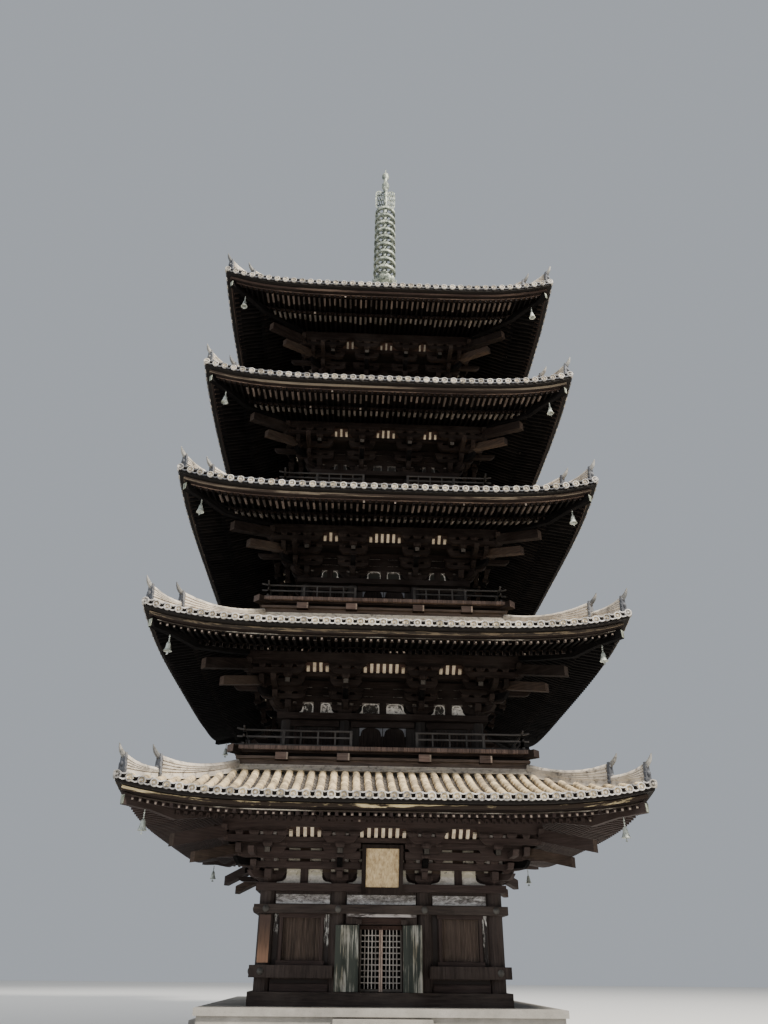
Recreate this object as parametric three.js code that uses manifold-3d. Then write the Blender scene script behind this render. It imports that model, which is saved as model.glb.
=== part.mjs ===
// Five-storey timber pagoda with tiled roofs, balconies and a bronze spire.
// Millimetres, +Z up, origin on the ground under the middle of the stone platform.
// The front faces -Y.

import * as THREE from 'three';
import { mergeVertices } from 'three/addons/utils/BufferGeometryUtils.js';
import Module from 'manifold-3d';

const wasm = await Module();
wasm.setup();

// Driving dimensions

// Every bay is a whole number of rafter spacings: side bay, middle bay, side bay.
const RAFTER_PITCH = 186;
const BAYS = [
  { side: 10, middle: 12 },
  { side: 9, middle: 12 },
  { side: 8, middle: 11 },
  { side: 8, middle: 9 },
  { side: 7, middle: 8 },
];

// Levels above the ground, from the first storey to the fifth.
const FLOOR_LEVEL = [800, 6850, 11400, 15700, 20080];
const PLATE_LEVEL = [3530, 8070, 12560, 16870, 21240];
const EAVE_LEVEL = [5180, 9550, 13955, 18245, 22690];

// Middle of the tower to the tips of the eave tiles, and the upturn of the corners.
const EAVE_HALF = [6520, 6560, 6300, 6080, 5900];
const CORNER_LIFT = [400, 475, 500, 500, 520];
const LIFT_POWER = 4.5;

const SEAT_GAP = 0.3;
const COLUMN_RADIUS = [200, 185, 175, 165, 155];
const COLUMN_SIDES = 12;
const WALL_THICKNESS = 100;

const STOREYS = BAYS.map((bay, index) => ({
  number: index + 1,
  half: (bay.middle / 2 + bay.side) * RAFTER_PITCH,
  inner: (bay.middle / 2) * RAFTER_PITCH,
  floor: FLOOR_LEVEL[index],
  plate: PLATE_LEVEL[index],
  eave: EAVE_LEVEL[index],
  eaveHalf: EAVE_HALF[index],
  lift: CORNER_LIFT[index],
  columnRadius: COLUMN_RADIUS[index],
}));
const GROUND_STOREY = STOREYS[0];

// Materials

function material(color, roughness, metalness = 0) {
  return new THREE.MeshStandardMaterial({ color, roughness, metalness });
}
const DARK_TIMBER = material(0x33261e, 0.85);
const BROWN_TIMBER = material(0x5a4130, 0.85);
const GREY_TIMBER = material(0x77776a, 0.9);
const ROOF_TILE = material(0xa5a196, 0.75);
const STONE = material(0x9a968c, 0.9);
const BRONZE = material(0x9fae9a, 0.6, 0.4);
const SIGN_BOARD = material(0xb09a72, 0.8);

// Solids

function solidOf(geometry) {
  const bare = geometry.clone();
  bare.deleteAttribute('normal');
  bare.deleteAttribute('uv');
  const merged = mergeVertices(bare, 1e-3);
  return new wasm.Manifold(new wasm.Mesh({
    numProp: 3,
    vertProperties: new Float32Array(merged.attributes.position.array),
    triVerts: new Uint32Array(merged.index.array),
  }));
}

function geometryOf(solid) {
  const mesh = solid.getMesh();
  const geometry = new THREE.BufferGeometry();
  geometry.setAttribute('position', new THREE.BufferAttribute(new Float32Array(mesh.vertProperties), 3));
  geometry.setIndex(new THREE.BufferAttribute(new Uint32Array(mesh.triVerts), 1));
  geometry.computeVertexNormals();
  return geometry;
}

function joined(geometries) {
  let solid = solidOf(geometries[0]);
  for (const geometry of geometries.slice(1)) {
    solid = solid.add(solidOf(geometry));
  }
  return solid;
}

function cut(solid, geometries) {
  let result = solid;
  for (const geometry of geometries) {
    result = result.subtract(solidOf(geometry));
  }
  return result;
}

// A box between two values on each axis.
function box(x, y, z) {
  const geometry = new THREE.BoxGeometry(x[1] - x[0], y[1] - y[0], z[1] - z[0]);
  geometry.translate((x[0] + x[1]) / 2, (y[0] + y[1]) / 2, (z[0] + z[1]) / 2);
  return geometry;
}

// A span on the left or right of the middle, given for the right.
function span(side, near, far) {
  return side > 0 ? [near, far] : [-far, -near];
}

// An upright round post.
function post(x, y, z, radius, sides = COLUMN_SIDES) {
  const geometry = new THREE.CylinderGeometry(radius, radius, z[1] - z[0], sides);
  geometry.rotateX(Math.PI / 2);
  geometry.translate(x, y, (z[0] + z[1]) / 2);
  return geometry;
}

// A square band round the tower. The profile is a closed outline of points
// [distance from the middle, level], and the spots are shares of a side from
// its middle to its corners. The lift raises a point near a corner.
const STRAIGHT_SIDE = [-1];
const BEND_SPOTS = [0.6, 0.86, 1];
const CURVED_SIDE = [...BEND_SPOTS.map((spot) => -spot).reverse(), ...BEND_SPOTS.slice(0, -1)];

function squareBand(profile, spots = STRAIGHT_SIDE, liftAt = () => 0) {
  const positions = [];
  const shares = [];
  for (let side = 0; side < 4; side += 1) {
    const turn = (side * Math.PI) / 2;
    const cos = Math.round(Math.cos(turn));
    const sin = Math.round(Math.sin(turn));
    for (const spot of spots) {
      shares.push(Math.abs(spot));
      for (const [reach, level] of profile) {
        const along = spot * reach;
        const out = -reach;
        const z = level + liftAt(Math.abs(spot), reach);
        positions.push(cos * along - sin * out, sin * along + cos * out, z);
      }
    }
  }
  const rows = shares.length;
  const count = profile.length;
  const indices = [];
  for (let row = 0; row < rows; row += 1) {
    const nextRow = (row + 1) % rows;
    for (let point = 0; point < count; point += 1) {
      const nextPoint = (point + 1) % count;
      const a = row * count + point;
      const b = nextRow * count + point;
      const c = nextRow * count + nextPoint;
      const d = row * count + nextPoint;
      // Bands that lie on each other fold their faces along the same diagonal.
      const outward = profile[nextPoint][0] > profile[point][0];
      const towardsCorner = shares[nextRow] > shares[row];
      if (outward === towardsCorner) {
        indices.push(a, b, d, b, c, d);
      } else {
        indices.push(a, b, c, a, c, d);
      }
    }
  }
  const geometry = new THREE.BufferGeometry();
  geometry.setAttribute('position', new THREE.Float32BufferAttribute(positions, 3));
  geometry.setIndex(indices);
  return geometry;
}

// A bar along the diagonal at each corner. A station is
// [distance from the middle on both axes, lowest level, highest level].
function diagonalBar(stations, width) {
  const positions = [];
  const offset = width / 2 / Math.SQRT2;
  for (const [reach, low, high] of stations) {
    positions.push(reach - offset, reach + offset, low);
    positions.push(reach + offset, reach - offset, low);
    positions.push(reach + offset, reach - offset, high);
    positions.push(reach - offset, reach + offset, high);
  }
  const indices = [];
  for (let station = 0; station < stations.length - 1; station += 1) {
    for (let edge = 0; edge < 4; edge += 1) {
      const a = station * 4 + edge;
      const b = station * 4 + ((edge + 1) % 4);
      indices.push(a, b + 4, b, a, a + 4, b + 4);
    }
  }
  const last = (stations.length - 1) * 4;
  indices.push(0, 1, 2, 0, 2, 3);
  indices.push(last, last + 2, last + 1, last, last + 3, last + 2);
  const geometry = new THREE.BufferGeometry();
  geometry.setAttribute('position', new THREE.Float32BufferAttribute(positions, 3));
  geometry.setIndex(indices);
  return geometry;
}

function aroundCorners(geometry) {
  return [0, 1, 2, 3].map((side) => geometry.clone().rotateZ((side * Math.PI) / 2));
}

// An outline in [distance outwards, level], drawn upright and given a width.
// It points away from the front wall, centred on x.
function uprightPlate(outline, width, x = 0) {
  const shape = new THREE.Shape(outline.map(([out, level]) => new THREE.Vector2(out, level)));
  const geometry = new THREE.ExtrudeGeometry(shape, { depth: width, bevelEnabled: false });
  geometry.translate(0, 0, -width / 2);
  geometry.applyMatrix4(new THREE.Matrix4().set(
    0, 0, -1, x,
    -1, 0, 0, 0,
    0, 1, 0, 0,
    0, 0, 0, 1,
  ));
  return geometry;
}

const tower = new THREE.Group();

function addPiece(name, geometry, pieceMaterial, place = {}) {
  const mesh = new THREE.Mesh(geometry, pieceMaterial);
  mesh.name = name;
  mesh.position.set(...(place.position ?? [0, 0, 0]));
  mesh.rotation.z = place.turn ?? 0;
  tower.add(mesh);
}

// Stone platform with steps on all four sides

const PLATFORM = {
  half: 4300,
  copingReach: 70,
  copingHeight: 160,
  overlap: 20,
  stepRoot: 100,
  stepCount: 4,
  stepGoing: 300,
  stepWidth: 2300,
};

function stonePlatform() {
  const top = GROUND_STOREY.floor;
  const edge = PLATFORM.half + PLATFORM.copingReach;
  const slab = box([-PLATFORM.half, PLATFORM.half], [-PLATFORM.half, PLATFORM.half], [0, top]);
  const coping = box([-edge, edge], [-edge, edge], [top - PLATFORM.copingHeight, top]);
  const riser = top / PLATFORM.stepCount;
  const outline = [[PLATFORM.half - PLATFORM.stepRoot, 0]];
  for (let step = PLATFORM.stepCount - 1; step > 0; step -= 1) {
    const reach = edge + step * PLATFORM.stepGoing;
    const level = (PLATFORM.stepCount - step) * riser;
    outline.push([reach, level - riser], [reach, level]);
  }
  outline.push([edge - PLATFORM.overlap, top - riser], [PLATFORM.half - PLATFORM.stepRoot, top - riser]);
  const stairs = aroundCorners(uprightPlate(outline, PLATFORM.stepWidth));
  return geometryOf(joined([slab, coping, ...stairs]));
}

addPiece('stone_platform', stonePlatform(), STONE);

// Ground storey walls

const PLATE_BOARD = 180;
const WALL_FACE = WALL_THICKNESS / 2;
const BEAM_BACK = COLUMN_RADIUS[0] + SEAT_GAP;
const BEAM_FRONT = 310;
const GROUND_BEAM_TOP = 1100;
const WAIST_BEAM = [1400, 1670];
const TIE_BEAM = [2830, 3030];
const WINDOW = { halfWidth: 480, level: [1780, 2735] };
const DOORWAY = { half: 555, level: [GROUND_BEAM_TOP, 2590] };
const JAMB = { width: 65, face: 190 };
const WAIST_BEAM_END = 100;
const CORNER_PANEL = 250;
const THROUGH_WALL = [-300, 300];
const SILL_INSIDE = 30;
const SIDE_FRAME_FACE = 170;

const groundHalf = GROUND_STOREY.half;
const groundInner = GROUND_STOREY.inner;
const columnClear = COLUMN_RADIUS[0] + SEAT_GAP;
const wallFoot = GROUND_STOREY.floor + SEAT_GAP;
const wallTop = GROUND_STOREY.plate - PLATE_BOARD - SEAT_GAP;
const windowCentre = (groundHalf + groundInner) / 2;

// The wall pieces are drawn for the front, where outwards is -Y.
function frontBox(x, out, z) {
  return box(x, [-groundHalf - out[1], -groundHalf - out[0]], z);
}

function frontColumn(x) {
  return post(x, -groundHalf, [wallFoot, wallTop], COLUMN_RADIUS[0]);
}

// One side bay from its corner column to its inner column, with the waist beam
// that runs past the corner column by cornerReach.
function windowBay(side, cornerReach) {
  const clear = span(side, groundInner, groundHalf - columnClear);
  const beamEnd = groundInner + WAIST_BEAM_END;
  return [
    frontBox(clear, [-WALL_FACE, WALL_FACE], [wallFoot, wallTop]),
    frontBox(span(side, beamEnd, groundHalf - columnClear), [0, BEAM_FRONT], WAIST_BEAM),
    frontBox(span(side, beamEnd, groundHalf + cornerReach), [BEAM_BACK, BEAM_FRONT], WAIST_BEAM),
  ];
}

function windowHole(side) {
  const middle = side * windowCentre;
  return frontBox([middle - WINDOW.halfWidth, middle + WINDOW.halfWidth], THROUGH_WALL, WINDOW.level);
}

// The narrow panel and the post between an inner column and the doorway.
function doorJamb(side, level) {
  return [
    frontBox(span(side, DOORWAY.half, groundInner), [-WALL_FACE, WALL_FACE], level),
    frontBox(span(side, DOORWAY.half, DOORWAY.half + JAMB.width), [-WALL_FACE, JAMB.face], level),
  ];
}

function frontWall(side) {
  const jambLevel = [DOORWAY.level[0] + SEAT_GAP, DOORWAY.level[1] - SEAT_GAP];
  const wall = joined([
    frontColumn(side * groundInner),
    ...windowBay(side, BEAM_FRONT),
    ...doorJamb(side, jambLevel),
  ]);
  return geometryOf(cut(wall, [windowHole(side)]));
}

// The head carries the pivot blocks of the plank doors.
const PLANK_DOOR = { pivot: 585, out: 240, thickness: 50, edge: 15, level: [1110, 2568], pin: 18 };
const PIN_ROOT = 20;
const COVER_STRIP = { half: 40, face: 20 };
const PIVOT_BLOCK = { halfWidth: 75, height: 110 };

function doorHead() {
  const reach = groundInner - columnClear;
  const [, low] = DOORWAY.level;
  const pieces = [
    frontBox([-reach, reach], [-WALL_FACE, WALL_FACE], [low, wallTop]),
    frontBox([-reach, reach], [0, JAMB.face], [low, TIE_BEAM[0] - SEAT_GAP]),
  ];
  for (const side of [-1, 1]) {
    const middle = side * PLANK_DOOR.pivot;
    const blockWidth = [middle - PIVOT_BLOCK.halfWidth, middle + PIVOT_BLOCK.halfWidth];
    pieces.push(frontBox(blockWidth, [0, BEAM_FRONT], [low, low + PIVOT_BLOCK.height]));
  }
  return geometryOf(joined(pieces));
}

function doorSill() {
  const reach = groundInner - columnClear;
  const depth = [-WALL_FACE - SILL_INSIDE, BEAM_BACK - 2 * SEAT_GAP];
  return frontBox([-reach, reach], depth, [wallFoot, GROUND_BEAM_TOP]);
}

// A whole side with its doorway. The left and right sides carry the corner columns.
function wholeWall(withCorners) {
  const cornerReach = withCorners ? BEAM_BACK - SEAT_GAP : BEAM_FRONT;
  const pieces = [frontColumn(-groundInner), frontColumn(groundInner)];
  for (const side of [-1, 1]) {
    pieces.push(...windowBay(side, cornerReach), ...doorJamb(side, [wallFoot, wallTop]));
    if (withCorners) {
      pieces.push(frontColumn(side * groundHalf));
      const cornerPanel = span(side, groundHalf - CORNER_PANEL, groundHalf);
      pieces.push(frontBox(cornerPanel, [-WALL_FACE, WALL_FACE], [wallFoot, wallTop]));
    }
  }
  const reach = groundInner;
  pieces.push(frontBox([-reach, reach], [-WALL_FACE, SIDE_FRAME_FACE], [wallFoot, DOORWAY.level[0]]));
  pieces.push(frontBox([-reach, reach], [-WALL_FACE, WALL_FACE], [DOORWAY.level[1], wallTop]));
  pieces.push(frontBox([-reach, reach], [0, SIDE_FRAME_FACE], [DOORWAY.level[1], TIE_BEAM[0] - SEAT_GAP]));
  const doorHole = frontBox([-DOORWAY.half, DOORWAY.half], THROUGH_WALL, DOORWAY.level);
  return geometryOf(cut(joined(pieces), [windowHole(-1), windowHole(1), doorHole]));
}

const QUARTER = Math.PI / 2;
const SIDE_TURN = { right: QUARTER, back: 2 * QUARTER, left: -QUARTER };

addPiece('front_wall_left', frontWall(-1), DARK_TIMBER);
addPiece('front_wall_right', frontWall(1), DARK_TIMBER);
addPiece('front_door_head', doorHead(), DARK_TIMBER);
addPiece('front_door_sill', doorSill(), DARK_TIMBER);
for (const [name, turn] of Object.entries(SIDE_TURN)) {
  addPiece(`${name}_wall`, wholeWall(name !== 'back'), DARK_TIMBER, { turn });
}

// Square rings of beams that hold the columns at the foot and under the plate.
function beamRing(level) {
  const back = groundHalf + BEAM_BACK + SEAT_GAP;
  const front = groundHalf + BEAM_FRONT;
  return squareBand([[back, level[0]], [front, level[0]], [front, level[1]], [back, level[1]]]);
}

addPiece('ground_beams', beamRing([wallFoot, GROUND_BEAM_TOP]), DARK_TIMBER);
addPiece('tie_beams', beamRing(TIE_BEAM), DARK_TIMBER);

// Doors of the ground storey

// A plank leaf, drawn closed, reaching along +X from its pivot at the origin.
const MEETING_GAP = 4;

function plankLeaf() {
  const { pivot, thickness, edge, level, pin } = PLANK_DOOR;
  const half = thickness / 2;
  const leaf = box([-edge, pivot - MEETING_GAP], [-half, half], level);
  const lowPin = post(0, 0, [GROUND_BEAM_TOP + SEAT_GAP, level[0] + PIN_ROOT], pin);
  const highPin = post(0, 0, [level[1] - PIN_ROOT, DOORWAY.level[1] - SEAT_GAP], pin);
  return joined([leaf, lowPin, highPin]);
}

// A lattice leaf in the doorway behind the planks, with its pivot at the origin.
const LATTICE_DOOR = {
  pivot: 520,
  edge: 20,
  thickness: 40,
  level: [1110, 2575],
  frame: 50,
  bar: 26,
  columns: 2,
  rows: 4,
  pin: 12,
};

function latticeLeaf() {
  const { pivot, edge, thickness, level, frame, bar, columns, rows, pin } = LATTICE_DOOR;
  const half = thickness / 2;
  const right = pivot - MEETING_GAP;
  const holes = [];
  const holeWidth = (right + edge - 2 * frame - (columns - 1) * bar) / columns;
  const holeHeight = (level[1] - level[0] - 2 * frame - (rows - 1) * bar) / rows;
  for (let column = 0; column < columns; column += 1) {
    const x = -edge + frame + column * (holeWidth + bar);
    for (let row = 0; row < rows; row += 1) {
      const z = level[0] + frame + row * (holeHeight + bar);
      holes.push(box([x, x + holeWidth], [-thickness, thickness], [z, z + holeHeight]));
    }
  }
  const leaf = box([-edge, right], [-half, half], level);
  const lowPin = post(0, 0, [GROUND_BEAM_TOP + SEAT_GAP, level[0] + PIN_ROOT], pin);
  const highPin = post(0, 0, [level[1] - PIN_ROOT, DOORWAY.level[1] - SEAT_GAP], pin);
  return cut(joined([leaf, lowPin, highPin]), holes);
}

function mirroredX(solid) {
  return geometryOf(solid.mirror([1, 0, 0]));
}

// The left leaf is folded right back, and the right one stands partly open.
const LEFT_LEAF_OPEN = Math.PI;
const RIGHT_LEAF_OPEN = THREE.MathUtils.degToRad(135);
const plankLine = -groundHalf - PLANK_DOOR.out;

addPiece('front_plank_door_left', geometryOf(plankLeaf()), GREY_TIMBER, {
  position: [-PLANK_DOOR.pivot, plankLine, 0],
  turn: -LEFT_LEAF_OPEN,
});
addPiece('front_plank_door_right', mirroredX(plankLeaf()), GREY_TIMBER, {
  position: [PLANK_DOOR.pivot, plankLine, 0],
  turn: RIGHT_LEAF_OPEN,
});
addPiece('front_lattice_door_left', geometryOf(latticeLeaf()), BROWN_TIMBER, {
  position: [-LATTICE_DOOR.pivot, -groundHalf, 0],
});
addPiece('front_lattice_door_right', mirroredX(latticeLeaf()), BROWN_TIMBER, {
  position: [LATTICE_DOOR.pivot, -groundHalf, 0],
});

// The closed doors of the other sides stand on the ground beam.
function closedDoors() {
  const reach = PLANK_DOOR.pivot - MEETING_GAP;
  const half = PLANK_DOOR.thickness / 2;
  const level = [GROUND_BEAM_TOP + SEAT_GAP, PLANK_DOOR.level[1]];
  const stripFace = PLANK_DOOR.out + half + COVER_STRIP.face;
  const strip = frontBox([-COVER_STRIP.half, COVER_STRIP.half], [PLANK_DOOR.out, stripFace], level);
  const leaves = frontBox([-reach, reach], [PLANK_DOOR.out - half, PLANK_DOOR.out + half], level);
  return geometryOf(joined([leaves, strip]));
}
for (const [name, turn] of Object.entries(SIDE_TURN)) {
  addPiece(`${name}_doors`, closedDoors(), GREY_TIMBER, { turn });
}

// Roof lines

// Each roof ends against the base of the balcony above, and the top one
// against the foot of the spire.
const BALCONY = { floorReach: 1358, baseReach: 1140, floorThickness: 130, baseHeight: 420, baseDepth: 200 };
const SPIRE_FOOT = { half: 620, level: 27000 };
const TILE_EDGE = 170;
const ROOF_THICKNESS = 170;
const ROOF_SAG = 0.3;
const TOP_ROOF_SAG = 0.42;
const LEDGE = 260;
const INNER_RIM = 40;
const TOP_ROOF_FLAT = 1200;

// Eave sizes: insets from the tile tips and drops below the middle of the tile edge.
const EAVE = {
  boardInset: 120,
  rafterInset: 300,
  rafterDrop: 450,
  boardDrop: 300,
  flyingReach: 1300,
  flyingSlope: 0.17,
  step: 130,
  baseSlope: 0.35,
  baseDepth: 170,
  deckRise: 40,
  innerEnd: 100,
  boardSlant: 30,
  stepSlant: 1,
};

function roofLine(storey) {
  const above = STOREYS[storey.number];
  const innerHalf = above ? above.half + BALCONY.baseReach : SPIRE_FOOT.half;
  const innerLevel = above ? above.floor - BALCONY.floorThickness - BALCONY.baseHeight : SPIRE_FOOT.level;
  const edge = storey.eaveHalf;
  const edgeTop = storey.eave + TILE_EDGE / 2;
  const reach = edge - innerHalf - INNER_RIM;
  const sag = above ? ROOF_SAG : TOP_ROOF_SAG;
  const topAt = (distance) => {
    const share = (edge - distance) / reach;
    return edgeTop + (innerLevel - edgeTop) * ((1 - sag) * share + sag * share * share);
  };
  const liftStart = innerHalf + (above ? INNER_RIM : TOP_ROOF_FLAT);
  const liftAt = (spot, distance) => {
    const share = Math.max(0, (distance - liftStart) / (edge - liftStart));
    return storey.lift * spot ** LIFT_POWER * share * share;
  };
  const rowSpots = above ? TOP_SPOTS.slice(1) : TOP_SPOTS;
  return { innerHalf, innerLevel, edge, reach, topAt, liftAt, rowSpots };
}

// The underside of the tiles near the eave, which the eave boards meet.
function undersideOfTiles(line) {
  const { edge, reach, topAt } = line;
  const low = topAt(edge) - TILE_EDGE;
  const next = edge - TOP_SPOTS[1] * reach;
  const slope = (topAt(next) - ROOF_THICKNESS - low) / (edge - next);
  return (distance) => low + slope * (edge - distance);
}

// Tiled roof

const RIDGE = {
  width: 250,
  height: 300,
  sink: 130,
  start: 60,
  bendShift: 25,
  hornLength: 150,
  hornHeight: 590,
  hornEnd: 30,
};
const CORNER_RIDGE = { start: 900, height: 220, sink: 70, hornLength: 220, hornHeight: 560, end: 90 };
const TOP_SPOTS = [0.28, 0.6];

// Rows of round tiles. Every third row stands on the solid as a rib.
const TILE_ROW = {
  pitch: 298,
  endInset: 60,
  every: 3,
  footHalf: 150,
  rise: 76,
  sink: 60,
  eaveInset: 6,
  ridgeRoot: 60,
  innerClear: 60,
  cornerClear: 900,
  shortestStretch: 150,
};

function roofProfile(line) {
  const { edge, reach, innerHalf, innerLevel, topAt } = line;
  const inner = innerHalf + INNER_RIM;
  const hole = innerHalf - LEDGE;
  const profile = [[edge, topAt(edge) - TILE_EDGE], [edge, topAt(edge)]];
  for (const spot of TOP_SPOTS) {
    profile.push([edge - spot * reach, topAt(edge - spot * reach)]);
  }
  profile.push([inner, innerLevel], [hole, innerLevel], [hole, innerLevel - ROOF_THICKNESS]);
  for (const spot of [...TOP_SPOTS].reverse()) {
    profile.push([edge - spot * reach, topAt(edge - spot * reach) - ROOF_THICKNESS]);
  }
  const seat = undersideOfTiles(line);
  for (const distance of [edge - EAVE.rafterInset, edge - EAVE.boardInset]) {
    profile.push([distance, seat(distance)]);
  }
  return profile;
}

function roofRidges(line) {
  const { edge, reach, innerHalf, topAt, liftAt } = line;
  const station = (distance, height, sink = RIDGE.sink) => {
    const surface = topAt(distance) + liftAt(1, distance);
    return [distance, surface - sink, surface + height];
  };
  const upperEnd = edge - CORNER_RIDGE.start;
  const cornerEnd = edge - CORNER_RIDGE.end;
  const bends = TOP_SPOTS.map((spot) => edge - spot * reach + RIDGE.bendShift)
    .filter((bend) => bend < upperEnd - RIDGE.hornLength)
    .reverse();
  const ridge = diagonalBar([
    station(innerHalf + RIDGE.start, RIDGE.height),
    ...bends.map((bend) => station(bend, RIDGE.height)),
    station(upperEnd - RIDGE.hornLength, RIDGE.height),
    station(upperEnd, RIDGE.hornHeight),
    station(upperEnd + RIDGE.hornEnd, CORNER_RIDGE.height),
    station(cornerEnd - CORNER_RIDGE.hornLength, CORNER_RIDGE.height, CORNER_RIDGE.sink),
    station(cornerEnd, CORNER_RIDGE.hornHeight, CORNER_RIDGE.sink),
  ], RIDGE.width);
  return aroundCorners(ridge);
}

// The lift of the roof's flat faces, which run straight between the bend spots.
function faceLift(line, spot, distance) {
  const next = Math.max(1, BEND_SPOTS.findIndex((bend) => bend >= spot));
  const near = BEND_SPOTS[next - 1];
  const share = Math.max(0, (spot - near) / (BEND_SPOTS[next] - near));
  return (1 - share) * line.liftAt(near, distance) + share * line.liftAt(BEND_SPOTS[next], distance);
}

// Level of the roof's flat faces over a point of the front side.
function roofSurface(line, x, distance) {
  const { edge, reach, innerHalf, topAt } = line;
  const bends = [edge, ...TOP_SPOTS.map((spot) => edge - spot * reach), innerHalf + INNER_RIM];
  const spot = Math.min(1, Math.abs(x) / distance);
  const level = (bend) => topAt(bend) + faceLift(line, spot, bend);
  const after = bends.findIndex((bend) => bend <= distance);
  const share = (bends[after - 1] - distance) / (bends[after - 1] - bends[after]);
  return (1 - share) * level(bends[after - 1]) + share * level(bends[after]);
}

// One row of round tiles on the front side, from the eave to the ridge or the inner rim.
function tileRow(line, x) {
  const { edge, reach, innerHalf } = line;
  const end = Math.max(Math.abs(x) + TILE_ROW.ridgeRoot, innerHalf + INNER_RIM + TILE_ROW.innerClear);
  const bends = line.rowSpots.map((spot) => edge - spot * reach)
    .filter((bend) => bend > end + TILE_ROW.shortestStretch);
  const stations = [edge - TILE_ROW.eaveInset, ...bends, end];
  const positions = stations.flatMap((distance) => {
    const surface = roofSurface(line, x, distance);
    return [
      x - TILE_ROW.footHalf, -distance, surface - TILE_ROW.sink,
      x + TILE_ROW.footHalf, -distance, surface - TILE_ROW.sink,
      x, -distance, surface + TILE_ROW.rise,
    ];
  });
  const indices = [0, 1, 2];
  for (let station = 0; station < stations.length - 1; station += 1) {
    for (let corner = 0; corner < 3; corner += 1) {
      const a = station * 3 + corner;
      const b = station * 3 + ((corner + 1) % 3);
      indices.push(a, b + 3, b, a, a + 3, b + 3);
    }
  }
  const last = (stations.length - 1) * 3;
  indices.push(last, last + 2, last + 1);
  const geometry = new THREE.BufferGeometry();
  geometry.setAttribute('position', new THREE.Float32BufferAttribute(positions, 3));
  geometry.setIndex(indices);
  return geometry;
}

function tileRows(line) {
  const count = Math.round((2 * line.edge) / TILE_ROW.pitch);
  const pitch = (2 * (line.edge - TILE_ROW.endInset)) / (count - 1);
  const first = count % 2 ? 0 : TILE_ROW.every / 2;
  const rows = [];
  for (let row = first; row * pitch < line.edge - TILE_ROW.cornerClear; row += TILE_ROW.every) {
    const sides = row > 0 ? [-1, 1] : [1];
    rows.push(...sides.flatMap((side) => aroundCorners(tileRow(line, side * row * pitch))));
  }
  return rows;
}

for (const storey of STOREYS) {
  const line = roofLine(storey);
  const shell = squareBand(roofProfile(line), CURVED_SIDE, line.liftAt);
  const roof = geometryOf(joined([shell, ...roofRidges(line), ...tileRows(line)]));
  addPiece(`roof_${storey.number}`, roof, ROOF_TILE);
}

// Eaves: two tiers of rafters under the boards that carry the tiles

// Underside of the base rafters at a distance from the middle of the tower.
function rafterUnderside(storey, distance) {
  const start = storey.eaveHalf - EAVE.flyingReach;
  const flyingEnd = EAVE.flyingSlope * (EAVE.flyingReach - EAVE.rafterInset);
  return storey.eave - EAVE.rafterDrop + flyingEnd - EAVE.step + EAVE.baseSlope * (start - distance);
}

function eaveProfile(storey, line) {
  const edge = storey.eaveHalf;
  const innerReach = storey.half - EAVE.innerEnd;
  const tiles = undersideOfTiles(line);
  const flyingTop = edge - EAVE.flyingReach;
  const under = (distance) => rafterUnderside(storey, distance);
  const boardEdge = edge - EAVE.boardInset;
  return [
    [boardEdge, tiles(boardEdge) - SEAT_GAP],
    [edge - EAVE.rafterInset, tiles(edge - EAVE.rafterInset) - SEAT_GAP],
    [flyingTop, storey.eave + EAVE.deckRise],
    [innerReach, under(innerReach) + EAVE.baseDepth],
    [innerReach, under(innerReach)],
    [flyingTop, under(flyingTop)],
    [flyingTop + EAVE.stepSlant, under(flyingTop) + EAVE.step],
    [edge - EAVE.rafterInset, storey.eave - EAVE.rafterDrop],
    [edge - EAVE.rafterInset, storey.eave - EAVE.boardDrop],
    [boardEdge - EAVE.boardSlant, storey.eave - EAVE.boardDrop],
  ];
}

// Hip rafters and the bells that hang from them.
const HIP = { width: 190, drop: 210, rise: 60, end: 260, endRise: 110, start: 1195 };
const BELL = {
  inset: 710,
  below: 1060,
  radius: 85,
  height: 230,
  crown: 25,
  link: 14,
  overlap: 20,
  sides: 6,
  linkSides: 4,
};
// The bell's outline as shares of its radius and of its height below the crown.
const BELL_OUTLINE = [[0, -1], [1, -1], [0.72, -0.45], [0.6, 0]];

function hipRafter(storey, line) {
  const end = storey.eaveHalf - HIP.end;
  const kink = storey.eaveHalf - EAVE.flyingReach;
  const start = storey.half + HIP.start;
  const under = (reach) => rafterUnderside(storey, reach) + line.liftAt(1, reach);
  const outer = storey.eave - EAVE.rafterDrop + line.liftAt(1, end);
  return diagonalBar([
    [start, under(start) - HIP.drop, under(start) + HIP.rise],
    [kink, under(kink) - HIP.drop, under(kink) + HIP.rise],
    [end, outer - HIP.drop / 2, outer + HIP.endRise],
  ], HIP.width);
}

function cornerBell(storey, line) {
  const reach = storey.eaveHalf - BELL.inset;
  const middle = storey.eave + storey.lift - BELL.below;
  const top = middle + BELL.height / 2;
  const hook = storey.eave - EAVE.rafterDrop + line.liftAt(1, reach) + 2 * BELL.overlap;
  const outline = BELL_OUTLINE.map(([share, rise]) => [BELL.radius * share, BELL.height * rise]);
  outline.push([0, BELL.crown]);
  const bell = new THREE.LatheGeometry(outline.map(([r, z]) => new THREE.Vector2(r, z)), BELL.sides);
  bell.rotateX(QUARTER);
  bell.translate(reach, reach, top);
  return [bell, post(reach, reach, [top - BELL.overlap, hook], BELL.link, BELL.linkSides)];
}

for (const storey of STOREYS) {
  const line = roofLine(storey);
  const shell = squareBand(eaveProfile(storey, line), CURVED_SIDE, line.liftAt);
  const corners = [hipRafter(storey, line), ...cornerBell(storey, line)];
  const pieces = [shell, ...corners.flatMap((geometry) => aroundCorners(geometry))];
  addPiece(`eaves_${storey.number}`, geometryOf(joined(pieces)), BROWN_TIMBER);
}

// Brackets: the wall plate, three stepped tiers and the eave purlin

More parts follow.
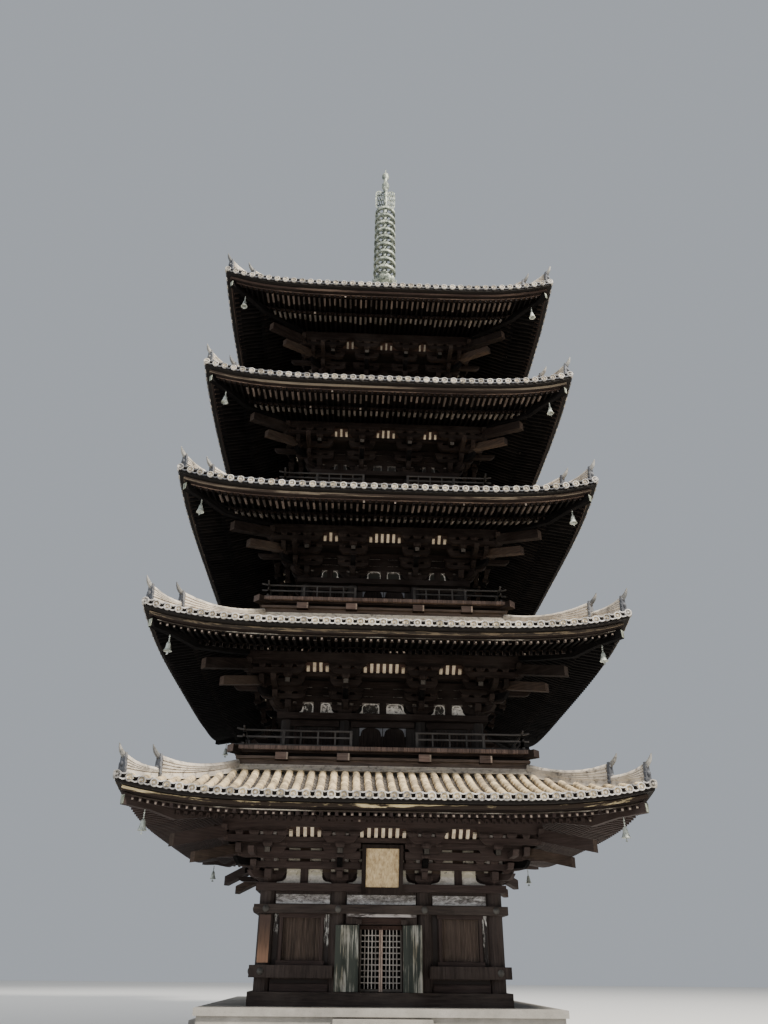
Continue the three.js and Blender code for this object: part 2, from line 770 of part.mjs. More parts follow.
const STEP = 2 * RAFTER_PITCH;
const BRACKET = {
  plateOut: 300,
  plateIn: 250,
  wall: 100,
  half: 70,
  firstStep: 620,
  secondStep: 980,
  purlinDepth: 220,
  deck: 120,
  slotHeight: 90,
};

function bracketProfile(storey) {
  const { half, plate } = storey;
  const { wall, deck } = BRACKET;
  const under = (out) => rafterUnderside(storey, half + out) - SEAT_GAP;
  const purlin = 3 * STEP;
  const purlinLow = under(purlin) - BRACKET.purlinDepth;
  const outline = [
    [-BRACKET.plateIn, plate - PLATE_BOARD],
    [BRACKET.plateOut, plate - PLATE_BOARD],
    [BRACKET.plateOut, plate],
    [wall, plate],
    [wall, plate + BRACKET.firstStep],
    [STEP + BRACKET.half, plate + BRACKET.firstStep],
    [STEP + BRACKET.half, plate + BRACKET.secondStep],
    [2 * STEP + BRACKET.half, plate + BRACKET.secondStep],
    [2 * STEP + BRACKET.half, plate + BRACKET.secondStep + BRACKET.slotHeight],
    [purlin - BRACKET.half, purlinLow],
    [purlin + BRACKET.half, purlinLow],
    [purlin + BRACKET.half, under(purlin + BRACKET.half)],
    [purlin - BRACKET.half, under(purlin - BRACKET.half)],
    [purlin - BRACKET.half, purlinLow + deck],
    [2 * STEP - BRACKET.half, plate + BRACKET.secondStep + BRACKET.slotHeight + deck],
    [2 * STEP - BRACKET.half, plate + BRACKET.secondStep + deck],
    [STEP - BRACKET.half, plate + BRACKET.secondStep + deck],
    [STEP - BRACKET.half, plate + BRACKET.firstStep + deck],
    [wall, plate + BRACKET.firstStep + deck],
    [wall, under(wall)],
    [-wall, under(-wall)],
    [-wall, plate],
    [-BRACKET.plateIn, plate],
  ];
  return outline.map(([out, level]) => [half + out, level]);
}

for (const storey of STOREYS) {
  addPiece(`brackets_${storey.number}`, squareBand(bracketProfile(storey)), DARK_TIMBER);
}

// Upper storeys: hollow walls with their columns in the plan outline

const UPPER_DOOR = { half: 690, foot: 60, height: 900, depth: 35, frame: 60, cutOut: 50 };
// Points of a column's outer half, as shares of a quarter turn.
const WALL_COLUMN_SPOTS = [-0.88, -0.44, 0, 0.44, 0.88];
const CORNER_COLUMN_SPOTS = [-0.8, -0.4, 0, 0.4, 0.8];

function upperWalls(storey) {
  const { half, inner, columnRadius, floor, plate } = storey;
  const face = half + WALL_FACE;
  const plan = new THREE.Shape();
  const points = [];
  for (let side = 0; side < 4; side += 1) {
    const turn = side * QUARTER;
    const sideEnd = half - columnRadius;
    const outline = [[-sideEnd, -face]];
    for (const x of [-inner, inner]) {
      for (const spot of WALL_COLUMN_SPOTS) {
        const angle = spot * QUARTER;
        outline.push([x + columnRadius * Math.sin(angle), -half - columnRadius * Math.cos(angle)]);
      }
    }
    outline.push([sideEnd, -face]);
    for (const spot of CORNER_COLUMN_SPOTS) {
      const angle = -Math.PI / 4 + spot * QUARTER;
      outline.push([half + columnRadius * Math.cos(angle), -half + columnRadius * Math.sin(angle)]);
    }
    for (const [x, y] of outline) {
      points.push([x * Math.cos(turn) - y * Math.sin(turn), x * Math.sin(turn) + y * Math.cos(turn)]);
    }
  }
  points.forEach(([x, y], index) => (index ? plan.lineTo(x, y) : plan.moveTo(x, y)));
  const room = half - WALL_FACE;
  const hole = new THREE.Path();
  hole.moveTo(-room, -room);
  hole.lineTo(-room, room);
  hole.lineTo(room, room);
  hole.lineTo(room, -room);
  plan.holes.push(hole);
  const height = plate - PLATE_BOARD - floor - 2 * SEAT_GAP;
  const walls = new THREE.ExtrudeGeometry(plan, { depth: height, bevelEnabled: false });
  walls.translate(0, 0, floor + SEAT_GAP);
  const doorHalf = Math.min(UPPER_DOOR.half, inner - columnRadius - UPPER_DOOR.frame);
  const pocket = box(
    [-doorHalf, doorHalf],
    [-face - UPPER_DOOR.cutOut, -face + UPPER_DOOR.depth],
    [floor + UPPER_DOOR.foot, floor + UPPER_DOOR.height],
  );
  return geometryOf(cut(solidOf(walls), aroundCorners(pocket)));
}

for (const storey of STOREYS.slice(1)) {
  addPiece(`walls_${storey.number}`, upperWalls(storey), DARK_TIMBER);
}

// Balconies: base, floor and railings

const RAILING = {
  reach: 1080,
  overrun: 180,
  thickness: 70,
  post: 80,
  lowRail: 90,
  topRail: [440, 520],
  gateHalf: 880,
  gateToColumn: 120,
};
const OVERLAP = 20;
const CUT_CLEAR = 10;

// A railing from the gate to past the corner, drawn for the front.
function railingPanel(storey) {
  const line = storey.half + RAILING.reach;
  const gate = Math.min(RAILING.gateHalf, storey.inner - RAILING.gateToColumn);
  const [topLow, topHigh] = RAILING.topRail;
  const { floor } = storey;
  const depth = [-line - RAILING.thickness / 2, -line + RAILING.thickness / 2];
  const deep = [depth[0] - CUT_CLEAR, depth[1] + CUT_CLEAR];
  const end = line + RAILING.overrun;
  const postHalf = RAILING.post / 2;
  const panel = box([gate, end], depth, [floor - CUT_CLEAR, floor + topHigh]);
  const gaps = [
    [gate + RAILING.post, storey.half - postHalf],
    [storey.half + postHalf, line - postHalf],
    [line + postHalf, end + CUT_CLEAR],
  ];
  const holes = gaps.map((gap) => box(gap, deep, [floor + RAILING.lowRail, floor + topLow]));
  return cut(solidOf(panel), holes);
}

function balcony(storey) {
  const top = storey.floor;
  const bottom = top - BALCONY.floorThickness;
  const edge = storey.half + BALCONY.floorReach;
  const base = storey.half + BALCONY.baseReach;
  const foot = bottom - BALCONY.baseHeight + SEAT_GAP;
  const tray = squareBand([
    [base - BALCONY.baseDepth, foot],
    [base, foot],
    [base, bottom + OVERLAP],
    [base - BALCONY.baseDepth, bottom + OVERLAP],
  ]);
  const floor = box([-edge, edge], [-edge, edge], [bottom, top]);
  let solid = joined([floor, tray]);
  const right = railingPanel(storey);
  for (const panel of [right, right.mirror([1, 0, 0])]) {
    for (const side of [0, 90, 180, 270]) {
      solid = solid.add(panel.rotate([0, 0, side]));
    }
  }
  return geometryOf(solid);
}

for (const storey of STOREYS.slice(1)) {
  addPiece(`balcony_${storey.number}`, balcony(storey), BROWN_TIMBER);
}

// Sign board between the brackets and the bare tablet on the left corner column

const SIGN = { width: 1080, level: [3310, 4440], out: [330, 790], thickness: 70 };
const SIGN_FOOT = { inset: 80, reach: 60, level: [40, 120] };

function signBoard() {
  const [low, high] = SIGN.level;
  const [near, far] = SIGN.out;
  const outline = [
    [groundHalf + near, low],
    [groundHalf + near + SIGN.thickness, low],
    [groundHalf + far + SIGN.thickness, high],
    [groundHalf + far, high],
  ];
  const foot = frontBox(
    [-SIGN.width / 2 + SIGN_FOOT.inset, SIGN.width / 2 - SIGN_FOOT.inset],
    [BRACKET.plateOut + SEAT_GAP, near + SIGN_FOOT.reach],
    [low + SIGN_FOOT.level[0], low + SIGN_FOOT.level[1]],
  );
  return geometryOf(joined([uprightPlate(outline, SIGN.width), foot]));
}
addPiece('sign_board', signBoard(), SIGN_BOARD);

const TABLET = { width: 280, thickness: 30, level: [1720, 2790] };

function columnTablet() {
  const back = COLUMN_RADIUS[0] + SEAT_GAP;
  return frontBox(
    [-groundHalf - TABLET.width / 2, -groundHalf + TABLET.width / 2],
    [back, back + TABLET.thickness],
    TABLET.level,
  );
}
addPiece('column_tablet', columnTablet(), BROWN_TIMBER);

// Bronze spire

const SPIRE_SIDES = 16;
const SPIRE = {
  boxTop: 27750,
  corniceHalf: 740,
  corniceHeight: 120,
  bowlRadius: 500,
  bowlTop: 28330,
  lotusTop: 29050,
  lotusRadius: 560,
  ringCount: 9,
  lowestRing: 29560,
  ringSpacing: 507,
  ringRadius: [530, 500],
  ringWidth: 110,
  ringHeight: 120,
  ringSides: 12,
  spoke: 50,
  shaftRadius: 100,
  flameLevel: [34030, 35340],
  flameHalf: 470,
  flameThickness: 30,
  lowBall: { middle: 35760, radius: 185, rise: 240 },
  jewel: { middle: 36480, radius: 180, rise: 210 },
  jewelNeck: { radius: 28, rise: 90 },
  tip: 37180,
  socket: 40,
};

// Turned outlines as shares of a radius and heights over the piece's own foot.
const BOWL_OUTLINE = [[1, 0], [0.97, 240], [0.75, 470]];
const BOWL_NECK = [[0.36, 0], [0.32, 180]];
const LOTUS_OUTLINE = [[0.7, -330], [0.88, -120], [1, 0]];
const BALL_ANGLES = [-60, -20, 20, 60];

// The right half of a flame plate, as shares of its half width and its height.
const FLAME_OUTLINE = [
  [0.45, 0],
  [0.83, 0.04],
  [0.95, 0.18],
  [1, 0.45],
  [0.97, 0.92],
  [0.85, 0.99],
  [0.5, 1],
  [0.25, 0.94],
];

function lathe(outline, sides = SPIRE_SIDES) {
  const geometry = new THREE.LatheGeometry(outline.map(([r, z]) => new THREE.Vector2(r, z)), sides);
  geometry.rotateX(QUARTER);
  return geometry;
}

function spireBase() {
  const { half, level } = SPIRE_FOOT;
  const { corniceHalf, boxTop, corniceHeight, bowlRadius, bowlTop, lotusTop, lotusRadius, socket } = SPIRE;
  const chest = box([-half, half], [-half, half], [level + SEAT_GAP, boxTop]);
  const corniceSpan = [-corniceHalf, corniceHalf];
  const cornice = box(corniceSpan, corniceSpan, [boxTop - corniceHeight, boxTop]);
  const foot = boxTop - socket;
  const bowl = lathe([
    [0, foot],
    ...BOWL_OUTLINE.map(([share, rise]) => [bowlRadius * share, foot + rise]),
    ...BOWL_NECK.map(([share, rise]) => [bowlRadius * share, bowlTop + rise]),
    ...LOTUS_OUTLINE.map(([share, rise]) => [lotusRadius * share, lotusTop + rise]),
    [0, lotusTop],
  ]);
  return geometryOf(joined([chest, cornice, bowl]));
}

function spireRings() {
  const { ringCount, lowestRing, ringSpacing, ringRadius, ringWidth, ringHeight, spoke, shaftRadius } = SPIRE;
  const highest = lowestRing + (ringCount - 1) * ringSpacing;
  const shaftLevel = [SPIRE.lotusTop + SEAT_GAP, SPIRE.flameLevel[0] - SPIRE.socket];
  const pieces = [post(0, 0, shaftLevel, shaftRadius)];
  for (let ring = 0; ring < ringCount; ring += 1) {
    const level = lowestRing + ring * ringSpacing;
    const share = (level - lowestRing) / (highest - lowestRing);
    const radius = ringRadius[0] + (ringRadius[1] - ringRadius[0]) * share;
    const low = level - ringHeight / 2;
    const high = level + ringHeight / 2;
    const inner = radius - ringWidth;
    const section = [[inner, low], [radius, low], [radius, high], [inner, high], [inner, low]];
    pieces.push(lathe(section, SPIRE.ringSides));
    const reach = radius - ringWidth / 2;
    const spokeLevel = [level - spoke / 2, level + spoke / 2];
    pieces.push(box([-reach, reach], [-spoke / 2, spoke / 2], spokeLevel));
    pieces.push(box([-spoke / 2, spoke / 2], [-reach, reach], spokeLevel));
  }
  return geometryOf(joined(pieces));
}

// Flame plates with rounded shoulders, set crosswise round the shaft.
function spireFlames() {
  const [low, high] = SPIRE.flameLevel;
  const right = FLAME_OUTLINE.map(([across, rise]) => [SPIRE.flameHalf * across, low + (high - low) * rise]);
  const left = right.map(([across, level]) => [-across, level]).reverse();
  const plate = uprightPlate([...right, [0, high], ...left], SPIRE.flameThickness);
  const shaftLevel = [low - SPIRE.socket + SEAT_GAP, high + SPIRE.socket];
  const shaft = post(0, 0, shaftLevel, SPIRE.shaftRadius);
  return geometryOf(joined([shaft, plate, plate.clone().rotateZ(QUARTER)]));
}

function spireJewels() {
  const { lowBall, jewel, jewelNeck, tip, shaftRadius, socket } = SPIRE;
  const foot = SPIRE.flameLevel[1] + socket + SEAT_GAP;
  const outline = [[0, foot], [shaftRadius, foot]];
  for (const { middle, radius, rise } of [lowBall, jewel]) {
    for (const angle of BALL_ANGLES) {
      const turn = THREE.MathUtils.degToRad(angle);
      outline.push([radius * Math.cos(turn), middle + rise * Math.sin(turn)]);
    }
  }
  outline.push([jewelNeck.radius, jewel.middle + jewel.rise + jewelNeck.rise], [0, tip]);
  return lathe(outline);
}

addPiece('spire_base', spireBase(), BRONZE);
addPiece('spire_rings', spireRings(), BRONZE);
addPiece('spire_flames', spireFlames(), BRONZE);
addPiece('spire_jewels', spireJewels(), BRONZE);

export default tower;
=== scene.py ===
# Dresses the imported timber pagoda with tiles, rafters, brackets, panels and finishes.
import math

import bmesh
import bpy
import numpy as np
from mathutils import Matrix, Vector


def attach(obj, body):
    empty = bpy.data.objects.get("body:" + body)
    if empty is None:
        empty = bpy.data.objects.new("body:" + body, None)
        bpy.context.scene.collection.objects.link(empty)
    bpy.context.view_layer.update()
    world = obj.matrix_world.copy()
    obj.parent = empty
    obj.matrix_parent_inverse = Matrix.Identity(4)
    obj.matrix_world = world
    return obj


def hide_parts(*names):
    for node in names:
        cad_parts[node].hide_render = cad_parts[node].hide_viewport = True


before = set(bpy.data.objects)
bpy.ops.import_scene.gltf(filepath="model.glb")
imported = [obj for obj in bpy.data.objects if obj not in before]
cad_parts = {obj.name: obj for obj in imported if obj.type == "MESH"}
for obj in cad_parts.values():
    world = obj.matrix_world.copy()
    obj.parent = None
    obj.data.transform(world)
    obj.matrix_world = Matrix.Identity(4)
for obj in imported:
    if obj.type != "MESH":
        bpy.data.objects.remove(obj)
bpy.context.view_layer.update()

# Measures of the five storeys, in metres and from the ground up. BAYS and BARS count rafter pitches and bars.
TOWER = "tower"
STOREYS = range(5)
PITCH = 0.186
STEP = 2 * PITCH
BAYS = [(10, 12), (9, 12), (8, 11), (8, 9), (7, 8)]
BARS = [(5, 7), (4, 7), (3, 6), (3, 4), (2, 3)]
FLOOR = [0.8, 6.85, 11.4, 15.7, 20.08]
PLATE = [3.53, 8.07, 12.56, 16.87, 21.24]
EAVE = [5.18, 9.55, 13.955, 18.245, 22.69]
EDGE = [6.52, 6.56, 6.3, 6.08, 5.9]
LIFT = [0.4, 0.475, 0.5, 0.5, 0.52]
LIFT_POWER = 4.5
COLUMN_RADIUS = [0.2, 0.185, 0.175, 0.165, 0.155]
HALF = [(middle / 2 + side) * PITCH for side, middle in BAYS]
INNER = [middle / 2 * PITCH for side, middle in BAYS]
random = np.random.default_rng(11)


# Mesh building

UP = np.array([0.0, 0.0, 1.0])
SIDEWAYS = np.array([1.0, 0.0, 0.0])
OUTWARD = np.array([0.0, -1.0, 0.0])
INWARD = -OUTWARD
DIAGONAL = np.array([1.0, -1.0, 0.0]) / math.sqrt(2)
CROSSWISE = np.array([1.0, 1.0, 0.0]) / math.sqrt(2)
BOX_FACES = [(3, 2, 1, 0), (4, 5, 6, 7), (0, 1, 5, 4), (1, 2, 6, 5), (2, 3, 7, 6), (3, 0, 4, 7)]
CORNERS = ((-1, -1), (1, -1), (1, 1), (-1, 1))
QUARTERS = ((1, 0), (0, 1), (-1, 0), (0, -1))
OCTAGON = [math.pi / 4 * n for n in range(8)]
GRAIN_SHIFT = 60
SHARP_ANGLE = math.radians(35)


def unit(vector):
    vector = np.asarray(vector, float)
    return vector / np.linalg.norm(vector)


def span(middle, half):
    return (middle - half, middle + half)


def flipped(outline):
    """The mirror image of an outline of (across, level), in reversed order."""
    return [(-a, b) for a, b in reversed(outline)]


def both_sides(right):
    """A symmetric outline from the points of its right side, which starts at the foot."""
    return flipped(right[:1]) + right + flipped(right[1:])


def rectangle(across, level):
    return [(across[0], level[0]), (across[1], level[0]), (across[1], level[1]), (across[0], level[1])]


def hip_point(distance, level):
    return np.array([distance, -distance, level])


def hip_ring(distance, level, right):
    """A section across a hip. Its points are counted from the hip's line."""
    return [hip_point(distance, level) + a * CROSSWISE + b * UP for a, b in both_sides(right)]


class Part:
    """Collects the faces of one piece, with a grain direction and a tone for each element."""

    def __init__(self, wall=0.0):
        """wall is the distance from the tower's middle at which its blocks' own distances start."""
        self.items = []
        self.wall = wall

    def add(self, points, faces, material=0, along=SIDEWAYS, grain=None, tone=None, smooth=False):
        points = np.asarray(points, float)
        if grain is None:
            along = unit(along)
            across = unit(np.cross(UP if abs(along[2]) < 0.9 else SIDEWAYS, along))
            grain = (points - points.mean(0)) @ np.stack([along, across, np.cross(along, across)]).T
        grain = np.asarray(grain, float) + random.uniform(0, GRAIN_SHIFT, 3)
        if tone is None:
            tone = random.random()
        tone = np.broadcast_to(np.asarray(tone, float), (len(points),))
        self.items.append((points, faces, material, grain, tone, smooth))

    def mark(self):
        return len(self.items)

    def copies(self, start, turn, side_shade, flip=False):
        """Turned copies of the items from start on, each with a grain and a tone of its own."""
        made = []
        for points, faces, material, grain, tone, smooth in self.items[start:]:
            if flip:
                faces = [tuple(reversed(face)) for face in faces]
            grain = grain + random.uniform(0, GRAIN_SHIFT, 3)
            if np.ptp(tone) == 0:
                tone = np.full(len(tone), random.random())
            made.append((points @ turn.T, faces, side_shade.get(material, material), grain, tone, smooth))
        return made

    def mirror(self, start=0):
        self.items += self.copies(start, np.diag([-1.0, 1.0, 1.0]), {}, True)

    def around(self, start=0, side_shade=None):
        """Repeats the front on the other sides. A swap table, if given, puts another material there, to paint
        shade on those sides.
        """
        made = []
        for c, s in QUARTERS[1:]:
            made += self.copies(start, np.array([[c, -s, 0], [s, c, 0], [0, 0, 1]], float), side_shade or {})
        self.items += made

    def build(self, name, materials, body=TOWER, replaces=()):
        columns = list(zip(*self.items))
        faces, slots, smooth = [], [], []
        offset = 0
        for points, own_faces, material, _, _, own_smooth in self.items:
            faces += [tuple(index + offset for index in face) for face in own_faces]
            slots += [material] * len(own_faces)
            smooth += [own_smooth] * len(own_faces)
            offset += len(points)
        mesh = bpy.data.meshes.new(name)
        mesh.from_pydata(np.concatenate(columns[0]), [], faces)
        grain, tone = (np.concatenate(columns[n]).astype(np.float32).ravel() for n in (3, 4))
        mesh.attributes.new("grain", "FLOAT_VECTOR", "POINT").data.foreach_set("vector", grain)
        mesh.attributes.new("tone", "FLOAT", "POINT").data.foreach_set("value", tone)
        for material in materials:
            mesh.materials.append(material)
        mesh.polygons.foreach_set("material_index", np.array(slots, np.int32))
        mesh.polygons.foreach_set("use_smooth", np.array(smooth, bool))
        work = bmesh.new()
        work.from_mesh(mesh)
        bmesh.ops.recalc_face_normals(work, faces=work.faces)
        work.to_mesh(mesh)
        work.free()
        if any(smooth):
            mesh.set_sharp_from_angle(angle=SHARP_ANGLE)
        mesh.update()
        piece = bpy.data.objects.new(name, mesh)
        bpy.context.scene.collection.objects.link(piece)
        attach(piece, body)
        if replaces:
            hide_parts(*replaces)


def block(part, x, out, z, material=0, along=SIDEWAYS, tone=None):
    """A box on the front side. out is the distance in front of the part's wall line."""
    near, far = part.wall + out[0], part.wall + out[1]
    points = [(a, -b, c) for c in z for a, b in ((x[0], far), (x[1], far), (x[1], near), (x[0], near))]
    part.add(points, BOX_FACES, material, along, tone=tone)


def bar(part, start, end, width, height):
    """A straight bar between two points, with its height upright to it."""
    start, end = np.asarray(start, float), np.asarray(end, float)
    along = unit(end - start)
    side = unit(np.cross(along, UP)) * width / 2
    top = unit(np.cross(side, along)) * height / 2
    part.add([p + a * side + b * top for p in (start, end) for a, b in CORNERS], BOX_FACES, along=along)


def sweep(part, rings, material=0, tone=None, smooth=False, closed=False):
    """Joins rings of equally many points. A closed sweep runs back to its first ring."""
    rings = np.asarray(rings, float)
    count, size = rings.shape[:2]
    faces = []
    for row in range(count if closed else count - 1):
        here, after = row * size, (row + 1) % count * size
        for point in range(size):
            near = (point + 1) % size
            faces.append((here + point, here + near, after + near, after + point))
    if not closed:
        faces.append(tuple(reversed(range(size))))
        faces.append(tuple(range((count - 1) * size, count * size)))
    steps = np.linalg.norm(np.diff(rings.mean(1), axis=0), axis=1)
    girth = np.linalg.norm(np.diff(rings[0], axis=0), axis=1)
    grain = np.zeros((count, size, 3))
    grain[:, :, 0] = np.concatenate([[0], np.cumsum(steps)])[:, None]
    grain[:, :, 1] = np.concatenate([[0], np.cumsum(girth)])[None, :]
    if np.ndim(tone) == 1:
        tone = np.repeat(np.asarray(tone, float), size)
    part.add(rings.reshape(-1, 3), faces, material, grain=grain.reshape(-1, 3), tone=tone, smooth=smooth)


def lathe(part, outline, centre, axis=UP, sides=12, material=0):
    """Turns an outline of (radius, height) about an axis through the centre that isn't sideways."""
    axis = unit(axis)
    first = unit(np.cross(SIDEWAYS, axis))
    second = np.cross(axis, first)
    centre = np.asarray(centre, float)
    points, faces, rows = [], [], []
    for radius, height in outline:
        if radius == 0:
            rows.append([len(points)] * sides)
            points.append(centre + axis * height)
            continue
        rows.append(list(range(len(points), len(points) + sides)))
        for k in range(sides):
            angle = 2 * math.pi * k / sides
            reach = math.cos(angle) * first + math.sin(angle) * second
            points.append(centre + axis * height + radius * reach)
    for low, high in zip(rows, rows[1:]):
        for k in range(sides):
            n = (k + 1) % sides
            face = [low[k], low[n], high[n], high[k]]
            face = [index for place, index in enumerate(face) if index not in face[:place]]
            if len(face) > 2:
                faces.append(tuple(face))
    for row, (radius, _) in ((rows[0], outline[0]), (rows[-1], outline[-1])):
        if radius > 0 and outline[0] != outline[-1]:
            faces.append(tuple(row))
    part.add(points, faces, material, axis, smooth=True)


def prism(part, outline, origin, across, rise, depth, material=0, along=None, tone=None):
    """A flat outline in the across and rise directions, given a depth vector."""
    origin, across = np.asarray(origin, float), np.asarray(across, float)
    front = np.array([origin + a * across + b * rise for a, b in outline])
    size = len(front)
    faces = [tuple(range(size)), tuple(reversed(range(size, 2 * size)))]
    faces += [(k, k + size, (k + 1) % size + size, (k + 1) % size) for k in range(size)]
    points = np.concatenate([front, front + depth])
    part.add(points, faces, material, across if along is None else along, tone=tone)


# Shares of half a side at which curved bands bend, close together near the corners.
SPOTS = [0.0, 0.3, 0.48, 0.6, 0.7, 0.78, 0.85, 0.91, 0.96, 0.99]
RING_SPOTS = [-1.0] + [-s for s in reversed(SPOTS[1:])] + SPOTS


def band(part, profile, material=0, lift=None):
    """A square ring round the tower with a closed profile of (reach, level)."""
    rings = []
    for c, s in QUARTERS:
        for spot in RING_SPOTS if lift else [-1.0]:
            ring = []
            for reach, level in profile:
                x, y = spot * reach, -reach
                z = level + (lift(abs(spot), reach) if lift else 0)
                ring.append((c * x - s * y, s * x + c * y, z))
            rings.append(ring)
    sweep(part, rings, material, closed=True)


def square(part, reach, level, material=0, lift=None):
    """A band with a right-angled profile between two reaches and two levels."""
    band(part, rectangle(reach, level), material, lift)


# Procedural materials

BUMP_STRENGTH = 0.6


class Nodes:
    """Short calls for building one material's nodes."""

    def __init__(self, name):
        self.material = bpy.data.materials.new(name)
        self.material.use_nodes = True
        self.tree = self.material.node_tree
        self.shader = self.tree.nodes["Principled BSDF"]

    def fill(self, node, inputs):
        """Links each input to another node's output, or sets it to a plain value."""
        for key, value in inputs.items():
            if isinstance(value, bpy.types.NodeSocket):
                self.tree.links.new(value, node.inputs[key])
            else:
                node.inputs[key].default_value = value

    def new(self, kind, inputs=None, **settings):
        node = self.tree.nodes.new(kind)
        for key, value in settings.items():
            setattr(node, key, value)
        self.fill(node, inputs or {})
        return node

    def place(self):
        return self.new("ShaderNodeTexCoord").outputs["Object"]

    def level(self, place):
        return self.new("ShaderNodeSeparateXYZ", {"Vector": place}).outputs["Z"]

    def grain(self):
        return self.new("ShaderNodeAttribute", attribute_name="grain").outputs["Vector"]

    def tone(self):
        return self.new("ShaderNodeAttribute", attribute_name="tone").outputs["Fac"]

    def scaled(self, vector, scale):
        return self.new("ShaderNodeMapping", {"Vector": vector, "Scale": scale}).outputs["Vector"]

    def noise(self, vector, scale, detail=4.0, rough=0.55, distortion=0.0):
        return self.new("ShaderNodeTexNoise", {"Vector": vector, "Scale": scale, "Detail": detail,
                                               "Roughness": rough, "Distortion": distortion}).outputs["Fac"]

    def ramp(self, value, *stops):
        node = self.new("ShaderNodeValToRGB", {"Fac": value})
        ramp = node.color_ramp
        while len(ramp.elements) < len(stops):
            ramp.elements.new(0.5)
        for element, (place, colour) in zip(ramp.elements, stops):
            element.position = place
            element.color = (*colour, 1)
        return node.outputs["Color"]

    def grey(self, value, low, high, start=0.0, end=1.0):
        """Maps a value from low..high to start..end."""
        inputs = {"Value": value, "From Min": low, "From Max": high, "To Min": start, "To Max": end}
        return self.new("ShaderNodeMapRange", inputs).outputs["Result"]

    def mix(self, factor, first, second, blend="MIX"):
        first, second = ((*c, 1) if isinstance(c, tuple) else c for c in (first, second))
        node = self.new("ShaderNodeMix", {0: factor, 6: first, 7: second}, data_type="RGBA", blend_type=blend)
        return node.outputs[2]

    def cover(self, colour, other, value, low, high, share=1.0):
        """Lays another colour over the first one, up to a share, as the value goes from low to high."""
        return self.mix(self.grey(value, low, high, 0.0, share), colour, other)

    def math(self, kind, first, second):
        return self.new("ShaderNodeMath", {0: first, 1: second}, operation=kind).outputs[0]

    def finish(self, colour, roughness, height, depth, metal=0.0, specular=0.3):
        bump = self.new("ShaderNodeBump", {"Height": height, "Strength": BUMP_STRENGTH, "Distance": depth})
        self.fill(self.shader, {"Base Color": colour, "Roughness": roughness, "Metallic": metal,
                                "Specular IOR Level": specular, "Normal": bump.outputs["Normal"]})
        return self.material


def timber(name, dark, middle, light, weather, weathered, along=None, tones=(0.62, 1.3), specular=0.3):
    """Old softwood with bleached, dusty patches. A solid has no grain of its own and runs along an axis."""
    n = Nodes(name)
    place = n.place()
    if along is None:
        grain, tone = n.grain(), n.tone()
        stretched = n.scaled(grain, (1.2, 16.0, 16.0))
    else:
        scale = [14.0, 14.0, 14.0]
        scale[along] = 1.1
        stretched = n.scaled(place, scale)
        tone = n.noise(n.scaled(place, (0.9, 0.9, 0.35)), 1.0, 1.0)
    fibres = n.noise(stretched, 1.6, 6.0, 0.6, 0.4)
    colour = n.ramp(fibres, (0.28, dark), (0.5, middle), (0.75, light))
    shade = n.grey(tone, 0.0, 1.0, *tones)
    shade = n.new("ShaderNodeCombineXYZ", {"X": shade, "Y": shade, "Z": shade}).outputs[0]
    colour = n.mix(1.0, colour, shade, "MULTIPLY")
    patches = n.noise(place, 0.9, 5.0, 0.65, 0.3)
    worn = n.math("MULTIPLY", n.grey(patches, 0.45, 0.7), weathered)
    colour = n.mix(worn, colour, weather)
    streaks = n.noise(n.scaled(stretched, (1.0, 2.4, 2.4)), 1.5, 3.0, 0.7)
    colour = n.cover(colour, dark, streaks, 0.35, 0.25, 0.55)
    rough = n.grey(fibres, 0.0, 1.0, 0.95, 0.72)
    return n.finish(colour, rough, fibres, 0.012, specular=specular)


def patched_board(name, dark, pale, cover, stretch=(0.35, 5.0, 5.0)):
    """A dark board on which pale paint or bleached wood is left in long patches."""
    n = Nodes(name)
    grain = n.grain()
    fibres = n.noise(n.scaled(grain, (1.2, 16.0, 16.0)), 1.6, 5.0, 0.6, 0.4)
    patches = n.noise(n.scaled(grain, stretch), 1.0, 5.0, 0.7, 0.4)
    colour = n.cover(dark, pale, patches, 0.6 - cover * 0.2, 0.66 - cover * 0.2)
    colour = n.cover(colour, dark, fibres, 0.5, 0.3, 0.6)
    return n.finish(colour, 0.9, fibres, 0.006)


def plaster(name, clean, stain, bare, wear, upper=None):
    """Lime plaster with grey stains and bare dark patches. upper is a tint and the level it starts from."""
    n = Nodes(name)
    place = n.place()
    tone = n.tone()
    stains = n.noise(n.scaled(place, (2.2, 2.2, 3.0)), 3.0, 6.0, 0.75)
    colour = n.cover(clean, stain, stains, 0.42, 0.66)
    if upper:
        tint, start = upper
        level = n.math("ADD", n.level(place), n.math("MULTIPLY", stains, 0.1))
        colour = n.cover(colour, tint, level, start, start + 0.05, 0.85)
    lost = n.noise(place, 9.0, 5.0, 0.75, 0.6)
    reach = n.math("ADD", n.math("MULTIPLY", tone, wear), lost)
    colour = n.cover(colour, bare, reach, 0.62, 0.72)
    return n.finish(colour, 0.93, stains, 0.006)


def flaking_plaster(name, foot):
    """Grey plaster that flakes off in small spots, whitest along its lower edge."""
    n = Nodes(name)
    place = n.place()
    flakes = n.noise(n.scaled(place, (5.0, 5.0, 12.0)), 1.0, 8.0, 0.8, 0.7)
    reach = n.math("ADD", flakes, n.grey(n.level(place), foot, foot + 0.09, 0.15, 0.02))
    colour = n.ramp(reach, (0.4, (0.04, 0.034, 0.03)), (0.49, (0.17, 0.155, 0.145)),
                    (0.57, (0.33, 0.31, 0.3)), (0.65, (0.62, 0.6, 0.58)))
    return n.finish(colour, 0.93, flakes, 0.008)


